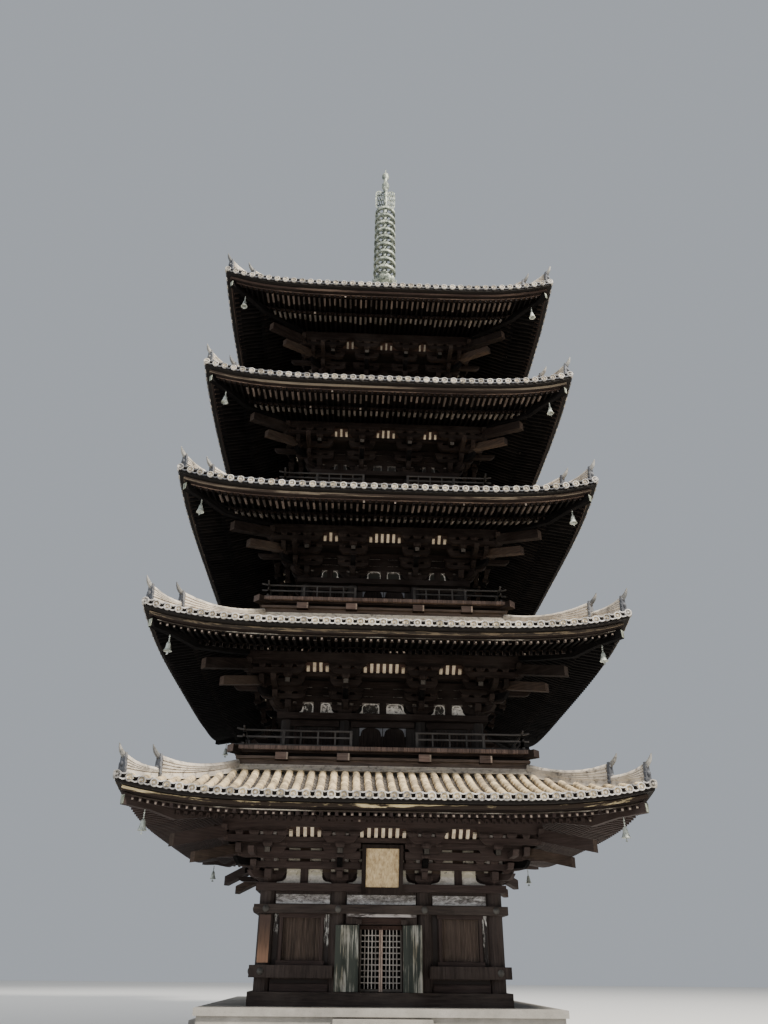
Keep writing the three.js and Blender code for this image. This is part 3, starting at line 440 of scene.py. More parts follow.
def tile(name, base, pale, dark, lichen):
    """Unglazed grey clay: each tile its own tone, with pale bloom, soot and lichen."""
    n = Nodes(name)
    place = n.place()
    colour = n.cover(base, pale, n.tone(), 0.1, 0.9)
    bloom = n.noise(place, 2.2, 6.0, 0.7, 0.2)
    colour = n.cover(colour, lichen, bloom, 0.5, 0.75, 0.6)
    soot = n.noise(place, 6.5, 5.0, 0.7)
    colour = n.cover(colour, dark, soot, 0.5, 0.3, 0.85)
    speck = n.noise(place, 60.0, 2.0, 0.6)
    return n.finish(colour, n.grey(bloom, 0.3, 0.8, 0.6, 0.88), speck, 0.004)


def bronze(name, base, patina, dark):
    """Cast bronze under green and white patina, darker in streaks."""
    n = Nodes(name)
    place = n.place()
    spots = n.noise(place, 5.0, 6.0, 0.7, 0.4)
    colour = n.cover(base, patina, spots, 0.4, 0.62)
    runs = n.noise(n.scaled(place, (6.0, 6.0, 0.9)), 1.6, 4.0, 0.6)
    colour = n.cover(colour, dark, runs, 0.46, 0.3, 0.75)
    return n.finish(colour, n.grey(spots, 0.2, 0.8, 0.5, 0.8), spots, 0.004, 0.35)


def stone(name, base, pale, dark):
    n = Nodes(name)
    place = n.place()
    broad = n.noise(place, 0.8, 6.0, 0.7)
    fine = n.noise(place, 30.0, 4.0, 0.7)
    colour = n.cover(base, pale, broad, 0.35, 0.65)
    colour = n.cover(colour, dark, fine, 0.55, 0.75, 0.5)
    return n.finish(colour, 0.92, fine, 0.004)


def streaked_planks(name):
    """Dark green planks. Old paint is left near the heads, runs down in streaks and thins to bare board. One
    pale patch low on the left leaf is painted sunlight.
    """
    n = Nodes(name)
    place = n.place()
    runs = n.noise(n.scaled(place, (26.0, 26.0, 0.8)), 1.0, 6.0, 0.7, 0.2)
    broad = n.noise(n.scaled(place, (3.2, 3.2, 1.1)), 1.0, 3.0, 0.6, 0.4)
    boards = n.noise(n.scaled(place, (5.0, 5.0, 0.05)), 1.0, 0.0)
    colour = n.cover((0.018, 0.022, 0.018), (0.042, 0.048, 0.04), boards, 0.35, 0.65)
    worn = n.grey(broad, 0.4, 0.62, -0.1, 0.1)
    # Pale spots as across, level, width and height. The third, low on the left leaf, is a painted patch of
    # sunlight.
    for across, level, width, height in ((-0.95, 2.22, 0.13, 0.36), (0.82, 2.1, 0.1, 0.45),
                                         (-1.05, 1.25, 0.17, 0.4), (0.95, 1.2, 0.1, 0.3)):
        inputs = {"Vector": place, "Scale": (1 / width, 0.0, 1 / height),
                  "Location": (-across / width, 0.0, -level / height)}
        spot = n.new("ShaderNodeMapping", inputs).outputs["Vector"]
        reach = n.new("ShaderNodeVectorMath", {"Vector": spot}, operation="LENGTH").outputs["Value"]
        worn = n.math("ADD", worn, n.grey(reach, 1.3, 0.7, 0.0, 0.14))
    reach = n.math("ADD", n.grey(runs, 0.3, 0.7, 0.2, 0.8), worn)
    paint = n.cover((0.27, 0.225, 0.15), (0.36, 0.35, 0.31), broad, 0.38, 0.64)
    colour = n.cover(colour, paint, reach, 0.56, 0.74, 0.8)
    return n.finish(colour, 0.9, runs, 0.006)


def peeled_paint(name):
    """A dark board whose white paint is left mostly at the top, in upright flakes."""
    n = Nodes(name)
    place = n.place()
    flakes = n.noise(n.scaled(place, (13.0, 13.0, 2.2)), 1.0, 6.0, 0.75, 0.5)
    level = n.level(place)
    left = n.grey(n.tone(), 0.0, 1.0, -0.22, 0.06)
    reach = n.math("ADD", n.math("ADD", flakes, n.grey(level, 1.7, 2.8, -0.1, 0.06)), left)
    colour = n.cover((0.024, 0.019, 0.018), (0.46, 0.45, 0.43), reach, 0.5, 0.58)
    return n.finish(colour, 0.92, flakes, 0.006)


def graded_cedar(name):
    """Cedar, darker at the head and paler towards the foot."""
    n = Nodes(name)
    place = n.place()
    fibres = n.noise(n.scaled(place, (16.0, 16.0, 1.0)), 1.6, 6.0, 0.6, 0.3)
    level = n.level(place)
    fade = n.math("ADD", n.grey(level, 2.7, 1.75), n.grey(fibres, 0.3, 0.7, -0.2, 0.2))
    colour = n.ramp(fade, (0.1, (0.058, 0.037, 0.029)), (0.55, (0.11, 0.064, 0.043)),
                    (0.95, (0.23, 0.13, 0.083)))
    colour = n.cover(colour, (0.04, 0.022, 0.015), fibres, 0.45, 0.3, 0.5)
    return n.finish(colour, 0.85, fibres, 0.006)


def pale_planks(name):
    n = Nodes(name)
    place = n.place()
    fibres = n.noise(n.scaled(place, (14.0, 14.0, 1.0)), 1.6, 6.0, 0.6, 0.3)
    colour = n.ramp(fibres, (0.3, (0.3, 0.2, 0.1)), (0.5, (0.5, 0.38, 0.22)), (0.75, (0.66, 0.53, 0.34)))
    patches = n.noise(place, 5.0, 5.0, 0.7)
    colour = n.cover(colour, (0.16, 0.1, 0.06), patches, 0.5, 0.7, 0.6)
    return n.finish(colour, 0.8, fibres, 0.006)


# Timber
DARK = timber("dark_timber", (0.005, 0.0035, 0.003), (0.0125, 0.0085, 0.0073), (0.027, 0.0188, 0.0156),
    (0.037, 0.029, 0.0255), 0.45, specular=0.1)
# Lighter copy of the dark timber for the ground storey: painted light against the deep shade among its
# brackets and eaves.
GROUND_TIMBER_LIGHTER = timber("ground_timber_painted_light", (0.0145, 0.0088, 0.0078), (0.029, 0.0178, 0.0152),
    (0.045, 0.0295, 0.0255), (0.048, 0.036, 0.0315), 0.35, tones=(0.86, 1.14))
# Near-black copy of the dark timber for undersides, tail rafters and inner arms: painted shade.
DEEP_SHADE_TIMBER = timber("deep_timber_painted_shade", (0.0014, 0.0013, 0.0014), (0.0038, 0.0034, 0.0035), (0.0095, 0.0083, 0.0082),
    (0.0115, 0.0102, 0.0102), 0.3, specular=0.04)
DARK_CAD = timber("dark_timber_plain", (0.004, 0.003, 0.0026), (0.011, 0.008, 0.0068),
    (0.023, 0.017, 0.0142), (0.032, 0.026, 0.023), 0.4, along=2)
BEAM_CAD = timber("dark_beam_plain", (0.012, 0.008, 0.007), (0.03, 0.021, 0.0175), (0.052, 0.038, 0.031),
    (0.066, 0.053, 0.045), 0.5, along=0)
LOW_CAD = timber("low_wall_plain", (0.012, 0.008, 0.007), (0.028, 0.019, 0.016), (0.045, 0.032, 0.027),
    (0.056, 0.044, 0.039), 0.4, along=2)
BROWN = timber("brown_timber", (0.006, 0.0042, 0.0036), (0.03, 0.018, 0.012), (0.06, 0.036, 0.025),
    (0.09, 0.066, 0.05), 0.4)
RED_BROWN = timber("red_brown_timber", (0.012, 0.006, 0.004), (0.03, 0.015, 0.011), (0.046, 0.025, 0.019),
    (0.05, 0.034, 0.028), 0.3)
END_GRAIN = timber("pale_ends", (0.1, 0.075, 0.06), (0.26, 0.2, 0.16), (0.42, 0.35, 0.28),
    (0.4, 0.34, 0.28), 0.5)
WORN_WOOD = timber("worn_rafters", (0.016, 0.0135, 0.0125), (0.085, 0.074, 0.067), (0.24, 0.215, 0.2),
    (0.19, 0.172, 0.16), 0.6, tones=(0.3, 1.3))
WORN_BROWN = timber("worn_brown_rafters", (0.012, 0.009, 0.008), (0.055, 0.041, 0.035),
    (0.17, 0.135, 0.118), (0.13, 0.105, 0.092), 0.6, tones=(0.3, 1.4))
# Very dark copy of the worn rafter timber, used on the other three sides: painted shade.
SIDE_RAFTERS_SHADED = timber("side_rafters_painted_shade", (0.002, 0.0018, 0.0018), (0.0055, 0.0047, 0.0045),
    (0.013, 0.011, 0.0105), (0.014, 0.012, 0.0115), 0.4, specular=0.04)
PINK_BOARD = timber("pink_boards", (0.04, 0.026, 0.022), (0.095, 0.064, 0.053), (0.16, 0.115, 0.098),
    (0.15, 0.12, 0.107), 0.4)
GREY_WOOD = timber("grey_timber", (0.018, 0.016, 0.014), (0.055, 0.047, 0.04), (0.11, 0.097, 0.085),
    (0.12, 0.108, 0.095), 0.5)
RAIL_WOOD = timber("rail_timber", (0.014, 0.012, 0.0115), (0.036, 0.032, 0.03), (0.07, 0.064, 0.06),
    (0.075, 0.068, 0.064), 0.5)
LATTICE_WOOD = timber("lattice_timber", (0.12, 0.105, 0.095), (0.27, 0.245, 0.22), (0.4, 0.37, 0.34),
    (0.38, 0.35, 0.33), 0.4)
PALE_STILE = timber("pale_stile", (0.2, 0.14, 0.11), (0.42, 0.31, 0.25), (0.55, 0.43, 0.36),
    (0.5, 0.42, 0.37), 0.4)
BAR_WOOD = timber("bar_timber", (0.024, 0.017, 0.0135), (0.066, 0.047, 0.037), (0.115, 0.084, 0.067),
    (0.125, 0.097, 0.08), 0.4)
# Near-black boards put in recesses and gaps where there is only shade: painted shadow.
SHADOW = timber("painted_shadow_boards", (0.003, 0.002, 0.0016), (0.006, 0.004, 0.003), (0.011, 0.008, 0.006),
    (0.014, 0.011, 0.009), 0.2)

# Boards with old paint
GOLD_STRIP = patched_board("gold_fascia", (0.03, 0.02, 0.014), (0.68, 0.55, 0.32), 0.45, (0.55, 5.0, 5.0))
TAN_STRIP = patched_board("tan_fascia", (0.035, 0.026, 0.019), (0.18, 0.135, 0.085), 0.45, (1.3, 12.0, 12.0))
BEIGE_STRIP = patched_board("beige_fascia", (0.05, 0.034, 0.025), (0.21, 0.165, 0.115), 0.55)
HEAD_STRIP = patched_board("head_strip", (0.07, 0.06, 0.057), (0.42, 0.385, 0.375), 0.6, (1.6, 7.0, 7.0))
BROWN_STRIP = patched_board("brown_fascia", (0.045, 0.027, 0.02), (0.15, 0.1, 0.072), 0.5)
EDGE_STRIP = patched_board("pale_edge", (0.04, 0.03, 0.022), (0.4, 0.36, 0.3), 0.4)
PLANKS = streaked_planks("streaked_planks")
PEELED = peeled_paint("peeled_paint")
SIGN_FACE = pale_planks("pale_board")
TABLET = graded_cedar("tablet_wood")

# Plaster and paint
LIME, LIME_STAIN, BARE_WALL = (0.62, 0.58, 0.53), (0.36, 0.33, 0.29), (0.02, 0.017, 0.014)
FIRM_PLASTER = plaster("lime_plaster", LIME, LIME_STAIN, BARE_WALL, 0.0, ((0.46, 0.42, 0.31), 3.76))
WORN_PLASTER = plaster("worn_plaster", LIME, LIME_STAIN, BARE_WALL, 0.3)
LOST_PLASTER = plaster("lost_plaster", LIME, LIME_STAIN, (0.018, 0.018, 0.014), 0.42)
# Dim copy of the lime plaster for the two top storeys' panels: painted shade.
UPPER_PLASTER_SHADED = plaster("upper_plaster_painted_shade", (0.16, 0.155, 0.145), (0.07, 0.066, 0.06), (0.018, 0.016, 0.014),
    0.42)
SLOT_PLASTER = plaster("slot_plaster", (0.62, 0.57, 0.48), (0.3, 0.27, 0.22), (0.05, 0.042, 0.034), 0.2)
# Dim copy of the slot plaster for the storeys above the ground: painted shade.
SLOT_PLASTER_SHADED = plaster("slot_plaster_painted_shade", (0.17, 0.145, 0.125), (0.07, 0.058, 0.05), (0.02, 0.016, 0.013), 0.35)
STAINED = flaking_plaster("stained_plaster", 3.06)
# Dim grey copy of the plaster for the small spots seen between the ground storey's arms: painted shade.
PLASTER_DOT_SHADED = plaster("plaster_dots_painted_shade", (0.19, 0.172, 0.16), (0.1, 0.09, 0.082), (0.04, 0.033, 0.029), 0.15)
CREAM = plaster("cream_paint", (0.62, 0.54, 0.42), (0.42, 0.33, 0.24), (0.1, 0.06, 0.04), 0.0)
# Dim copy of the cream paint for the top storey's bars: painted shade.
CREAM_PAINT_SHADED = plaster("cream_paint_painted_shade", (0.3, 0.27, 0.23), (0.2, 0.17, 0.14), (0.08, 0.06, 0.05), 0.0)

# Tiles
TILE = tile("roof_tile", (0.33, 0.265, 0.18), (0.68, 0.545, 0.345), (0.045, 0.037, 0.033), (0.82, 0.64, 0.35))
# Flat tiles between the round rows, darkened to show the rows' shadows on them: painted shade.
FLAT_TILE_SHADED = tile("flat_tile_painted_shade", (0.05, 0.045, 0.043), (0.12, 0.106, 0.094), (0.014, 0.013, 0.014),
    (0.17, 0.145, 0.115))
TILE_DISC = tile("eave_tile", (0.18, 0.172, 0.168), (0.46, 0.435, 0.405), (0.034, 0.032, 0.032),
    (0.56, 0.5, 0.36))
TILE_LIP = tile("eave_lip", (0.25, 0.24, 0.235), (0.52, 0.495, 0.475), (0.05, 0.048, 0.05), (0.58, 0.52, 0.4))
# Near-black bed under the tiles, seen only through gaps: painted shade.
TILE_BED_SHADED = tile("tile_bed_painted_shade", (0.03, 0.028, 0.026), (0.05, 0.046, 0.042), (0.012, 0.012, 0.011),
    (0.07, 0.062, 0.05))
RIDGE_TILE = tile("ridge_tile", (0.28, 0.252, 0.22), (0.57, 0.51, 0.435), (0.055, 0.05, 0.047),
    (0.64, 0.55, 0.41))
HORN_TILE = tile("horn_tile", (0.1, 0.1, 0.1), (0.26, 0.25, 0.23), (0.03, 0.03, 0.03), (0.4, 0.36, 0.3))
END_TILE = tile("end_tile", (0.05, 0.053, 0.062), (0.12, 0.123, 0.135), (0.015, 0.016, 0.019),
    (0.2, 0.19, 0.17))

# Bronze, iron and stone
SPIRE_BRONZE = bronze("spire_bronze", (0.09, 0.11, 0.095), (0.44, 0.47, 0.4), (0.012, 0.015, 0.013))
# Dark copy of the spire bronze for the spokes and bells inside the rings: painted shade.
SPIRE_BRONZE_SHADED = bronze("spire_bronze_painted_shade", (0.025, 0.03, 0.028), (0.1, 0.115, 0.1), (0.008, 0.01, 0.009))
BELL_BRONZE = bronze("bell_bronze", (0.26, 0.28, 0.25), (0.6, 0.63, 0.58), (0.05, 0.055, 0.05))
METAL_CAP = bronze("pale_cap", (0.13, 0.14, 0.11), (0.36, 0.38, 0.31), (0.04, 0.042, 0.034))
GREY_METAL = bronze("door_metal", (0.1, 0.1, 0.11), (0.18, 0.18, 0.195), (0.03, 0.03, 0.033))
NAIL_METAL = bronze("nail_metal", (0.05, 0.047, 0.043), (0.1, 0.094, 0.085), (0.02, 0.018, 0.016))
STONE = stone("platform_stone", (0.2, 0.19, 0.17), (0.33, 0.31, 0.28), (0.09, 0.085, 0.078))

# Looks that change from storey to storey
FASCIA = [GOLD_STRIP, TAN_STRIP, BEIGE_STRIP, BEIGE_STRIP, BROWN_STRIP]
# Brackets' timber: the ground storey's lighter copy is painted light.
SHADE = [GROUND_TIMBER_LIGHTER, DARK, DARK, DARK, DARK]
# Undersides: painted light on the ground storey, painted shade on the storeys above.
SOFFIT = [GROUND_TIMBER_LIGHTER, DEEP_SHADE_TIMBER, DEEP_SHADE_TIMBER, DEEP_SHADE_TIMBER, DEEP_SHADE_TIMBER]
# The two top storeys' panels take a dim copy of the plaster, painted shade.
PANEL_PLASTER = [FIRM_PLASTER, WORN_PLASTER, LOST_PLASTER, UPPER_PLASTER_SHADED, UPPER_PLASTER_SHADED]


# Roof lines, the same as the solids'

BALCONY_REACH = 1.358
BASE_REACH = 1.14
BALCONY_DEPTH = 0.13
BASE_DEPTH = 0.42
SPIRE_HALF = 0.62
SPIRE_LEVEL = 27.0
TILE_EDGE = 0.17
RIM = 0.04
SAG, TOP_SAG = 0.3, 0.42
TOP_LIFT_START = 1.2
RAFTER_DROP = 0.45
TIER_DROP = 0.13
RAFTER_INSET = 0.3
FLYING_REACH = 1.3
FLYING_SLOPE = 0.17
BASE_SLOPE = 0.35


class RoofLine:
    """Levels over and under one roof. distance is measured from the tower's middle."""

    def __init__(self, k):
        top_storey = k == 4
        self.edge = EDGE[k]
        self.eave = EAVE[k]
        self.kink = self.edge - FLYING_REACH
        self.inner = SPIRE_HALF if top_storey else HALF[k + 1] + BASE_REACH
        self.inner_level = SPIRE_LEVEL if top_storey else FLOOR[k + 1] - BALCONY_DEPTH - BASE_DEPTH
        self.sag = TOP_SAG if top_storey else SAG
        self.reach = self.edge - self.inner - RIM
        self.lift_start = self.inner + (TOP_LIFT_START if top_storey else RIM)
        self.height = LIFT[k]

    def top(self, distance):
        share = (self.edge - distance) / self.reach
        edge_top = self.eave + TILE_EDGE / 2
        return edge_top + (self.inner_level - edge_top) * ((1 - self.sag) * share + self.sag * share * share)

    def lift(self, spot, distance):
        """How far the eaves curve up there. spot is 0 in the middle of a side and 1 at its corner."""
        share = max(0.0, (distance - self.lift_start) / (self.edge - self.lift_start))
        return self.height * spot ** LIFT_POWER * share * share

    def rise(self, x, distance):
        return self.lift(min(1.0, abs(x) / distance), distance)

    def hip(self, distance):
        return hip_point(distance, self.top(distance) + self.rise(distance, distance))

    def flying_under(self, distance):
        return self.eave - RAFTER_DROP + FLYING_SLOPE * (self.edge - RAFTER_INSET - distance)

    def base_under(self, distance):
        return self.flying_under(self.kink) - TIER_DROP + BASE_SLOPE * (self.kink - distance)


# Tiled roofs

TILE_PITCH = 0.298
TILE_RADIUS = 0.1
TILE_STEP = 0.27
DISC_RADIUS = 0.1
DISC_RELIEF = ((0, 0.004), (0.024, 0.004), (0.03, -0.034), (0.068, -0.034), (0.076, 0.006),
               (DISC_RADIUS, 0.0), (DISC_RADIUS, -0.06), (0, -0.06))
ARC = [math.pi * k / 6 for k in range(7)]


def row_stations(line, x, gap):
    """The lower and upper ends of the tiles in a row, from the eaves up to a ridge or the roof's head."""
    end = max(abs(x) + gap, line.inner + 0.02)
    stations = []
    distance = line.edge - 0.03
    while distance - TILE_STEP > end + 0.05:
        stations.append((distance, distance - TILE_STEP))
        distance -= TILE_STEP
    if distance - end > 0.06:
        stations.append((distance, end))
    return stations


def tile_level(line, x, distance):
    """The axis of a row of round tiles at a place on the roof."""
    return line.top(distance) + line.rise(x, distance) - TILE_RADIUS


def round_row(part, line, x):
    """A row of round tiles, each a little wider at its lower end than the one above it."""
    rings, tones = [], []
    for low, high in row_stations(line, x, 0.13):
        tone = random.random()
        rise, shift = random.uniform(-0.004, 0.004, 2)
        for distance, radius in ((low, TILE_RADIUS), (high, TILE_RADIUS - 0.011)):
            axis = tile_level(line, x, distance) + rise
            ring = [(x + shift + radius * math.cos(a), -distance, axis + radius * math.sin(a)) for a in ARC]
            ring += [(ring[-1][0], -distance, axis - 0.04), (ring[0][0], -distance, axis - 0.04)]
            rings.append(ring)
            tones.append(tone)
    if len(rings) > 1:
        sweep(part, rings, tone=tones, smooth=True)


def flat_row(part, line, middle, half):
    """A row of hollow flat tiles between two round rows. It starts a little behind the eave's front."""
    rings, tones = [], []
    section = ((-half, 0.0), (0.0, 0.04), (half, 0.0), (half, 0.065), (-half, 0.065))
    for low, high in row_stations(line, middle, 0.1):
        tone = random.random()
        for distance, rise in ((min(low, line.edge - 0.1), 0.01), (high, -0.012)):
            axis = tile_level(line, middle, distance) + rise
            rings.append([(middle + a, -distance, axis - drop) for a, drop in section])
            tones.append(tone)
    if len(rings) > 1:
        sweep(part, rings, 1, tone=tones)


def hanging(reach, bend, upper, lower):
    """A strip that hangs in a curve. Each three levels are at its ends, at its bends and in its middle."""
    spots = (-reach, -bend, 0, bend, reach)
    top, foot = (list(zip(spots, levels + levels[1::-1])) for levels in (upper, lower))
    return top + foot[::-1]


def roof_tiles(k):
    line = RoofLine(k)
    edge = line.edge
    part = Part()
    fronts = Part()
    rows = int(round(2 * edge / TILE_PITCH))
    pitch = 2 * (edge - DISC_RADIUS) / (rows - 1)
    half = pitch / 2 - TILE_RADIUS * 0.75
    reach = half + 0.02
    # From the third roof up the lips and crescents take the dark end tile: painted shade under the eaves'
    # front.
    lip_or_shade_slot = 2 if k > 1 else 3
    lip = hanging(reach, half * 0.5, (0.085, 0.062, 0.055), (0.05, 0.032, 0.026))
    crescent = hanging(reach, half * 0.5, (-0.038, -0.06, -0.068), (-0.066, -0.092, -0.1))
    # A dark board in the gaps between the eave discs: painted shadow.
    hollow = rectangle((-reach, reach), (-0.085, 0.04))
    for row in range(rows):
        x = -edge + DISC_RADIUS + row * pitch
        round_row(part, line, x)
        axis = line.eave + line.rise(x, edge)
        lathe(fronts, DISC_RELIEF, (x, -edge + 0.006, axis - 0.01), OUTWARD, 14)
        if row == rows - 1:
            continue
        middle = x + pitch / 2
        flat_row(part, line, middle, half)
        axis = line.eave + line.rise(middle, edge)
        for outline, back, depth, material in ((lip, 0.012, (0, 0.12, 0.01), lip_or_shade_slot),
                                               (crescent, 0.014, (0, 0.03, 0), lip_or_shade_slot),
                                               (hollow, 0.07, (0, 0.025, 0), 1)):
            prism(fronts, outline, (middle, -edge + back, axis), SIDEWAYS, UP, depth, material)
    part.around()
    fronts.around()
    bed = Part()
    profile = [(edge - 0.17, line.top(edge - 0.17) - 0.15)]
    for share in (0.15, 0.3, 0.45, 0.6, 0.8):
        distance = edge - share * line.reach
        profile.append((distance, line.top(distance) - 0.14))
    profile.append((line.inner + RIM, line.inner_level - 0.14))
    band(bed, profile + [(distance, level - 0.04) for distance, level in reversed(profile)], lift=line.lift)
    bed.build(f"roof_bed_{k + 1}", [TILE_BED_SHADED])
    part.build(f"roof_tiles_{k + 1}", [TILE, FLAT_TILE_SHADED], replaces=[f"roof_{k + 1}"])
    fronts.build(f"eave_tiles_{k + 1}", [TILE_DISC, SHADOW, END_TILE, TILE_LIP])


# Ridges with their end tiles, and the courses along the top of each roof

RIDGE_COURSES = 4
RIDGE_STEP = 0.25
RIDGE_POWER = 2.6
HEAD_COURSES = 4
HORN_PATH = ((-0.9, -0.08, 0.05), (-0.1, -0.05, 0.064), (0.3, 0.01, 0.064), (0.62, 0.08, 0.054),
             (0.84, 0.16, 0.036), (1.0, 0.25, 0.01))


def ridge_section(width, height):
    """Courses of flat tiles that step in upwards, under a row of round tiles."""
    half = width / 2
    side = [(half, -0.12)]
    step = (height - 0.09) / RIDGE_COURSES
    for course in range(RIDGE_COURSES):
        reach = half - 0.008 * course
        level = 0.02 + course * step
        side += [(reach - 0.026, level), (reach - 0.026, level + step * 0.36), (reach, level + step * 0.4),
                 (reach, level + step * 0.96)]
    top = height - 0.075
    return side + [(0.078 * math.cos(a), top + 0.075 * math.sin(a)) for a in ARC] + flipped(side)


def ridge(part, line, start, end, width, low, high):
    """A ridge down a hip. Its height grows from low to high towards its end, so that its top curves up."""
    rings, tones = [], []
    count = max(5, int((end - start) / RIDGE_STEP))
    for step in range(count + 1):
        share = step / count
        middle = line.hip(start + (end - start) * share)
        section = ridge_section(width, low + (high - low) * share ** RIDGE_POWER)
        rings.append([middle + a * CROSSWISE + b * UP for a, b in section])
        tones.append(random.random())
    sweep(part, rings, tone=tones)


def ridge_end(part, line, distance, height, lean):
    """A dark end plate with shoulders, brows and a boss, and a horn that curves out and up from it."""
    middle = line.hip(distance)
    face = middle + 0.04 * DIAGONAL
    outline = both_sides([(0.15, -0.1), (0.175, 0.0), (0.14, 0.04), (0.15, 0.15), (0.11, 0.19), (0.115, 0.29),
                          (0.07, height + 0.05)])
    prism(part, outline, face, CROSSWISE, UP, -0.06 * DIAGONAL, 1)
    lathe(part, [(0.07, 0), (0.065, 0.03), (0.04, 0.055), (0, 0.06)], face + 0.14 * UP, DIAGONAL, 10, 1)
    for side in (-1, 1):
        brow = face + (height - 0.05) * UP + side * 0.055 * CROSSWISE
        lathe(part, [(0.032, 0), (0.026, 0.02), (0, 0.03)], brow, DIAGONAL, 8, 1)
    rings = []
    over = np.cross(CROSSWISE, unit(0.8 * DIAGONAL + UP))
    for out, rise, radius in HORN_PATH:
        centre = middle + out * lean * DIAGONAL + (height + rise) * UP
        rings.append([centre + radius * (math.cos(a) * CROSSWISE + math.sin(a) * over) for a in OCTAGON])
    sweep(part, rings, 2, smooth=True)


def roof_ridges(k):
    line = RoofLine(k)
    inner, level = line.inner, line.inner_level
    part = Part()
    upper_end = line.edge - 0.88
    ridge(part, line, inner + 0.04, upper_end, 0.24, 0.2, 0.46)
    ridge(part, line, upper_end - 0.12, line.edge - 0.19, 0.22, 0.16, 0.38)
    ridge_end(part, line, upper_end + 0.03, 0.44, 0.25)
    ridge_end(part, line, line.edge - 0.165, 0.36, 0.2)
    part.around()
    courses = [(inner - 0.02, level - 0.16), (inner - 0.02, level + 0.07)]
    for course in range(HEAD_COURSES):
        reach = inner + 0.075 + 0.04 * course
        head = level + 0.07 - 0.045 * course
        courses += [(reach, head - 0.006 * course), (reach + 0.004, head - 0.032),
                    (reach - 0.012, head - 0.038)]
    courses.append((inner + 0.12, level - 0.1))
    band(part, courses)
    part.build(f"roof_ridges_{k + 1}", [RIDGE_TILE, END_TILE, HORN_TILE])


# Eaves: rafters in two tiers, the boards on them and the fascia boards

CORNER_ROOM = 0.4
WORN_LENGTH = 0.62
HIP_HALF = 0.055 * math.sqrt(2)
# How many of the rafters' ends are pale, for the upper and the lower tier of each storey.
END_CHANCE = [(0.8, 0.08), (0.85, 0.2), (0.04, 0.02), (0.02, 0.02), (0.02, 0.02)]


def rafter(part, line, x, distances, under, size, material=0):
    tone = random.random()
    width, height = size
    rings = []
    for distance in distances:
        low = under(distance) + line.rise(x, distance)
        rings.append([(a, -distance, b) for a, b in rectangle(span(x, width / 2), (low, low + height))])
    sweep(part, rings, material, tone=tone)


def worn_rafter(part, k, line, x, outer, inner, under, size, end_size):
    """One rafter. From the second storey up a length near its tip is worn pale."""
    split = outer
    flying = outer > line.kink + 0.2
    if k and outer - inner > 0.3 and abs(x) < line.edge - random.uniform(0.9, 1.7):
        tip, length = (outer - 0.1, WORN_LENGTH) if k > 1 else (outer - 0.005, 0.14)
        split = max(inner, tip - length * random.uniform(0.55, 1.0))
        rafter(part, line, x, (outer, tip), under, size)
        rafter(part, line, x, (tip, split), under, size, 5 if flying or k == 1 else 2)
    if split - inner > 0.02:
        rafter(part, line, x, np.linspace(split, inner, 4), under, size)
    low = under(outer) + line.rise(x, outer) + 0.01
    worn = random.random()
    if worn > 0.12:
        width, rise = end_size[0] * random.uniform(0.75, 1.0), end_size[1] * random.uniform(0.7, 1.0)
        pale = END_CHANCE[k][0 if flying else 1]
        block(part, span(x, width / 2), (outer - 0.002, outer + 0.004), (low, low + rise),
              1 if worn > 1 - pale else 3)


def sloping(under, distances, low, high):
    """The profile of a board along a slope, between two heights over it."""
    foot, top = ([(d, under(d) + height) for d in distances] for height in (low, high))
    return foot[:1] + top + foot[:0:-1]


def rafters(k, line):
    part = Part()
    edge, kink = line.edge, line.kink
    end = edge - CORNER_ROOM
    offset = INNER[k] + PITCH / 2
    start = offset - PITCH * int((offset + end) / PITCH)
    places = start + PITCH * np.arange(math.ceil((end - start) / PITCH))
    flying_end, base_end = ((0.055, 0.055), (0.05, 0.05)) if k < 2 else ((0.062, 0.075), (0.07, 0.085))
    slim = 1.0 if k < 2 else 0.78
    tiers = ((edge - RAFTER_INSET, kink - 0.1, 0.06, line.flying_under, (0.078 * slim, 0.095), flying_end),
             (kink + 0.12, HALF[k] - 0.06, 0.1, line.base_under, (0.088 * slim, 0.115), base_end))
    for x in places:
        for outer, inner, least, under, size, end_size in tiers:
            inner = max(inner, abs(x) + 0.09)
            if outer - inner > least:
                worn_rafter(part, k, line, x, outer, inner, under, size, end_size)
    # On the other sides the pale worn lengths turn very dark: painted shade.
    part.around(side_shade={2: 4, 5: 4})
    part.build(f"rafters_{k + 1}", [SOFFIT[k], END_GRAIN, WORN_WOOD, DARK, SIDE_RAFTERS_SHADED, WORN_BROWN],
               replaces=[f"eaves_{k + 1}"])


def eave_boards(k, line):
    part = Part()
    edge, eave, kink, lift = line.edge, line.eave, line.kink, line.lift
    # Slot 1, a dark board behind the eave discs, is painted shadow. Slot 3 takes the undersides' timber:
    # painted light on the ground storey, painted shade above.
    for inner, outer, low, high, material in ((0.3, 0.06, 0.165, 0.1, 1), (0.33, 0.215, 0.3, 0.175, 0),
                                              (0.216, 0.2, 0.275, 0.19, 2), (0.44, 0.31, 0.352, 0.19, 0),
                                              (0.312, 0.302, 0.356, 0.318 if k > 1 else 0.33, 4)):
        square(part, (edge - inner, edge - outer), (eave - low, eave - high), material, lift)
    band(part, sloping(line.flying_under, (edge - CORNER_ROOM, kink - 0.12), 0.097, 0.127), 3, lift)
    low = line.base_under(kink) + 0.11
    band(part, [(kink - 0.05, low), (kink + 0.08, low), (kink + 0.08, line.flying_under(kink + 0.08)),
                (kink - 0.05, line.flying_under(kink - 0.05))], 0, lift)
    inner = HALF[k] - 0.1
    band(part, sloping(line.base_under, (kink + 0.06, (kink + inner) / 2, inner), 0.117, 0.145), 3, lift)
    foot_strip = BROWN_STRIP if k > 1 else EDGE_STRIP
    part.build(f"eave_boards_{k + 1}", [DARK, SHADOW, FASCIA[k], SOFFIT[k], foot_strip])


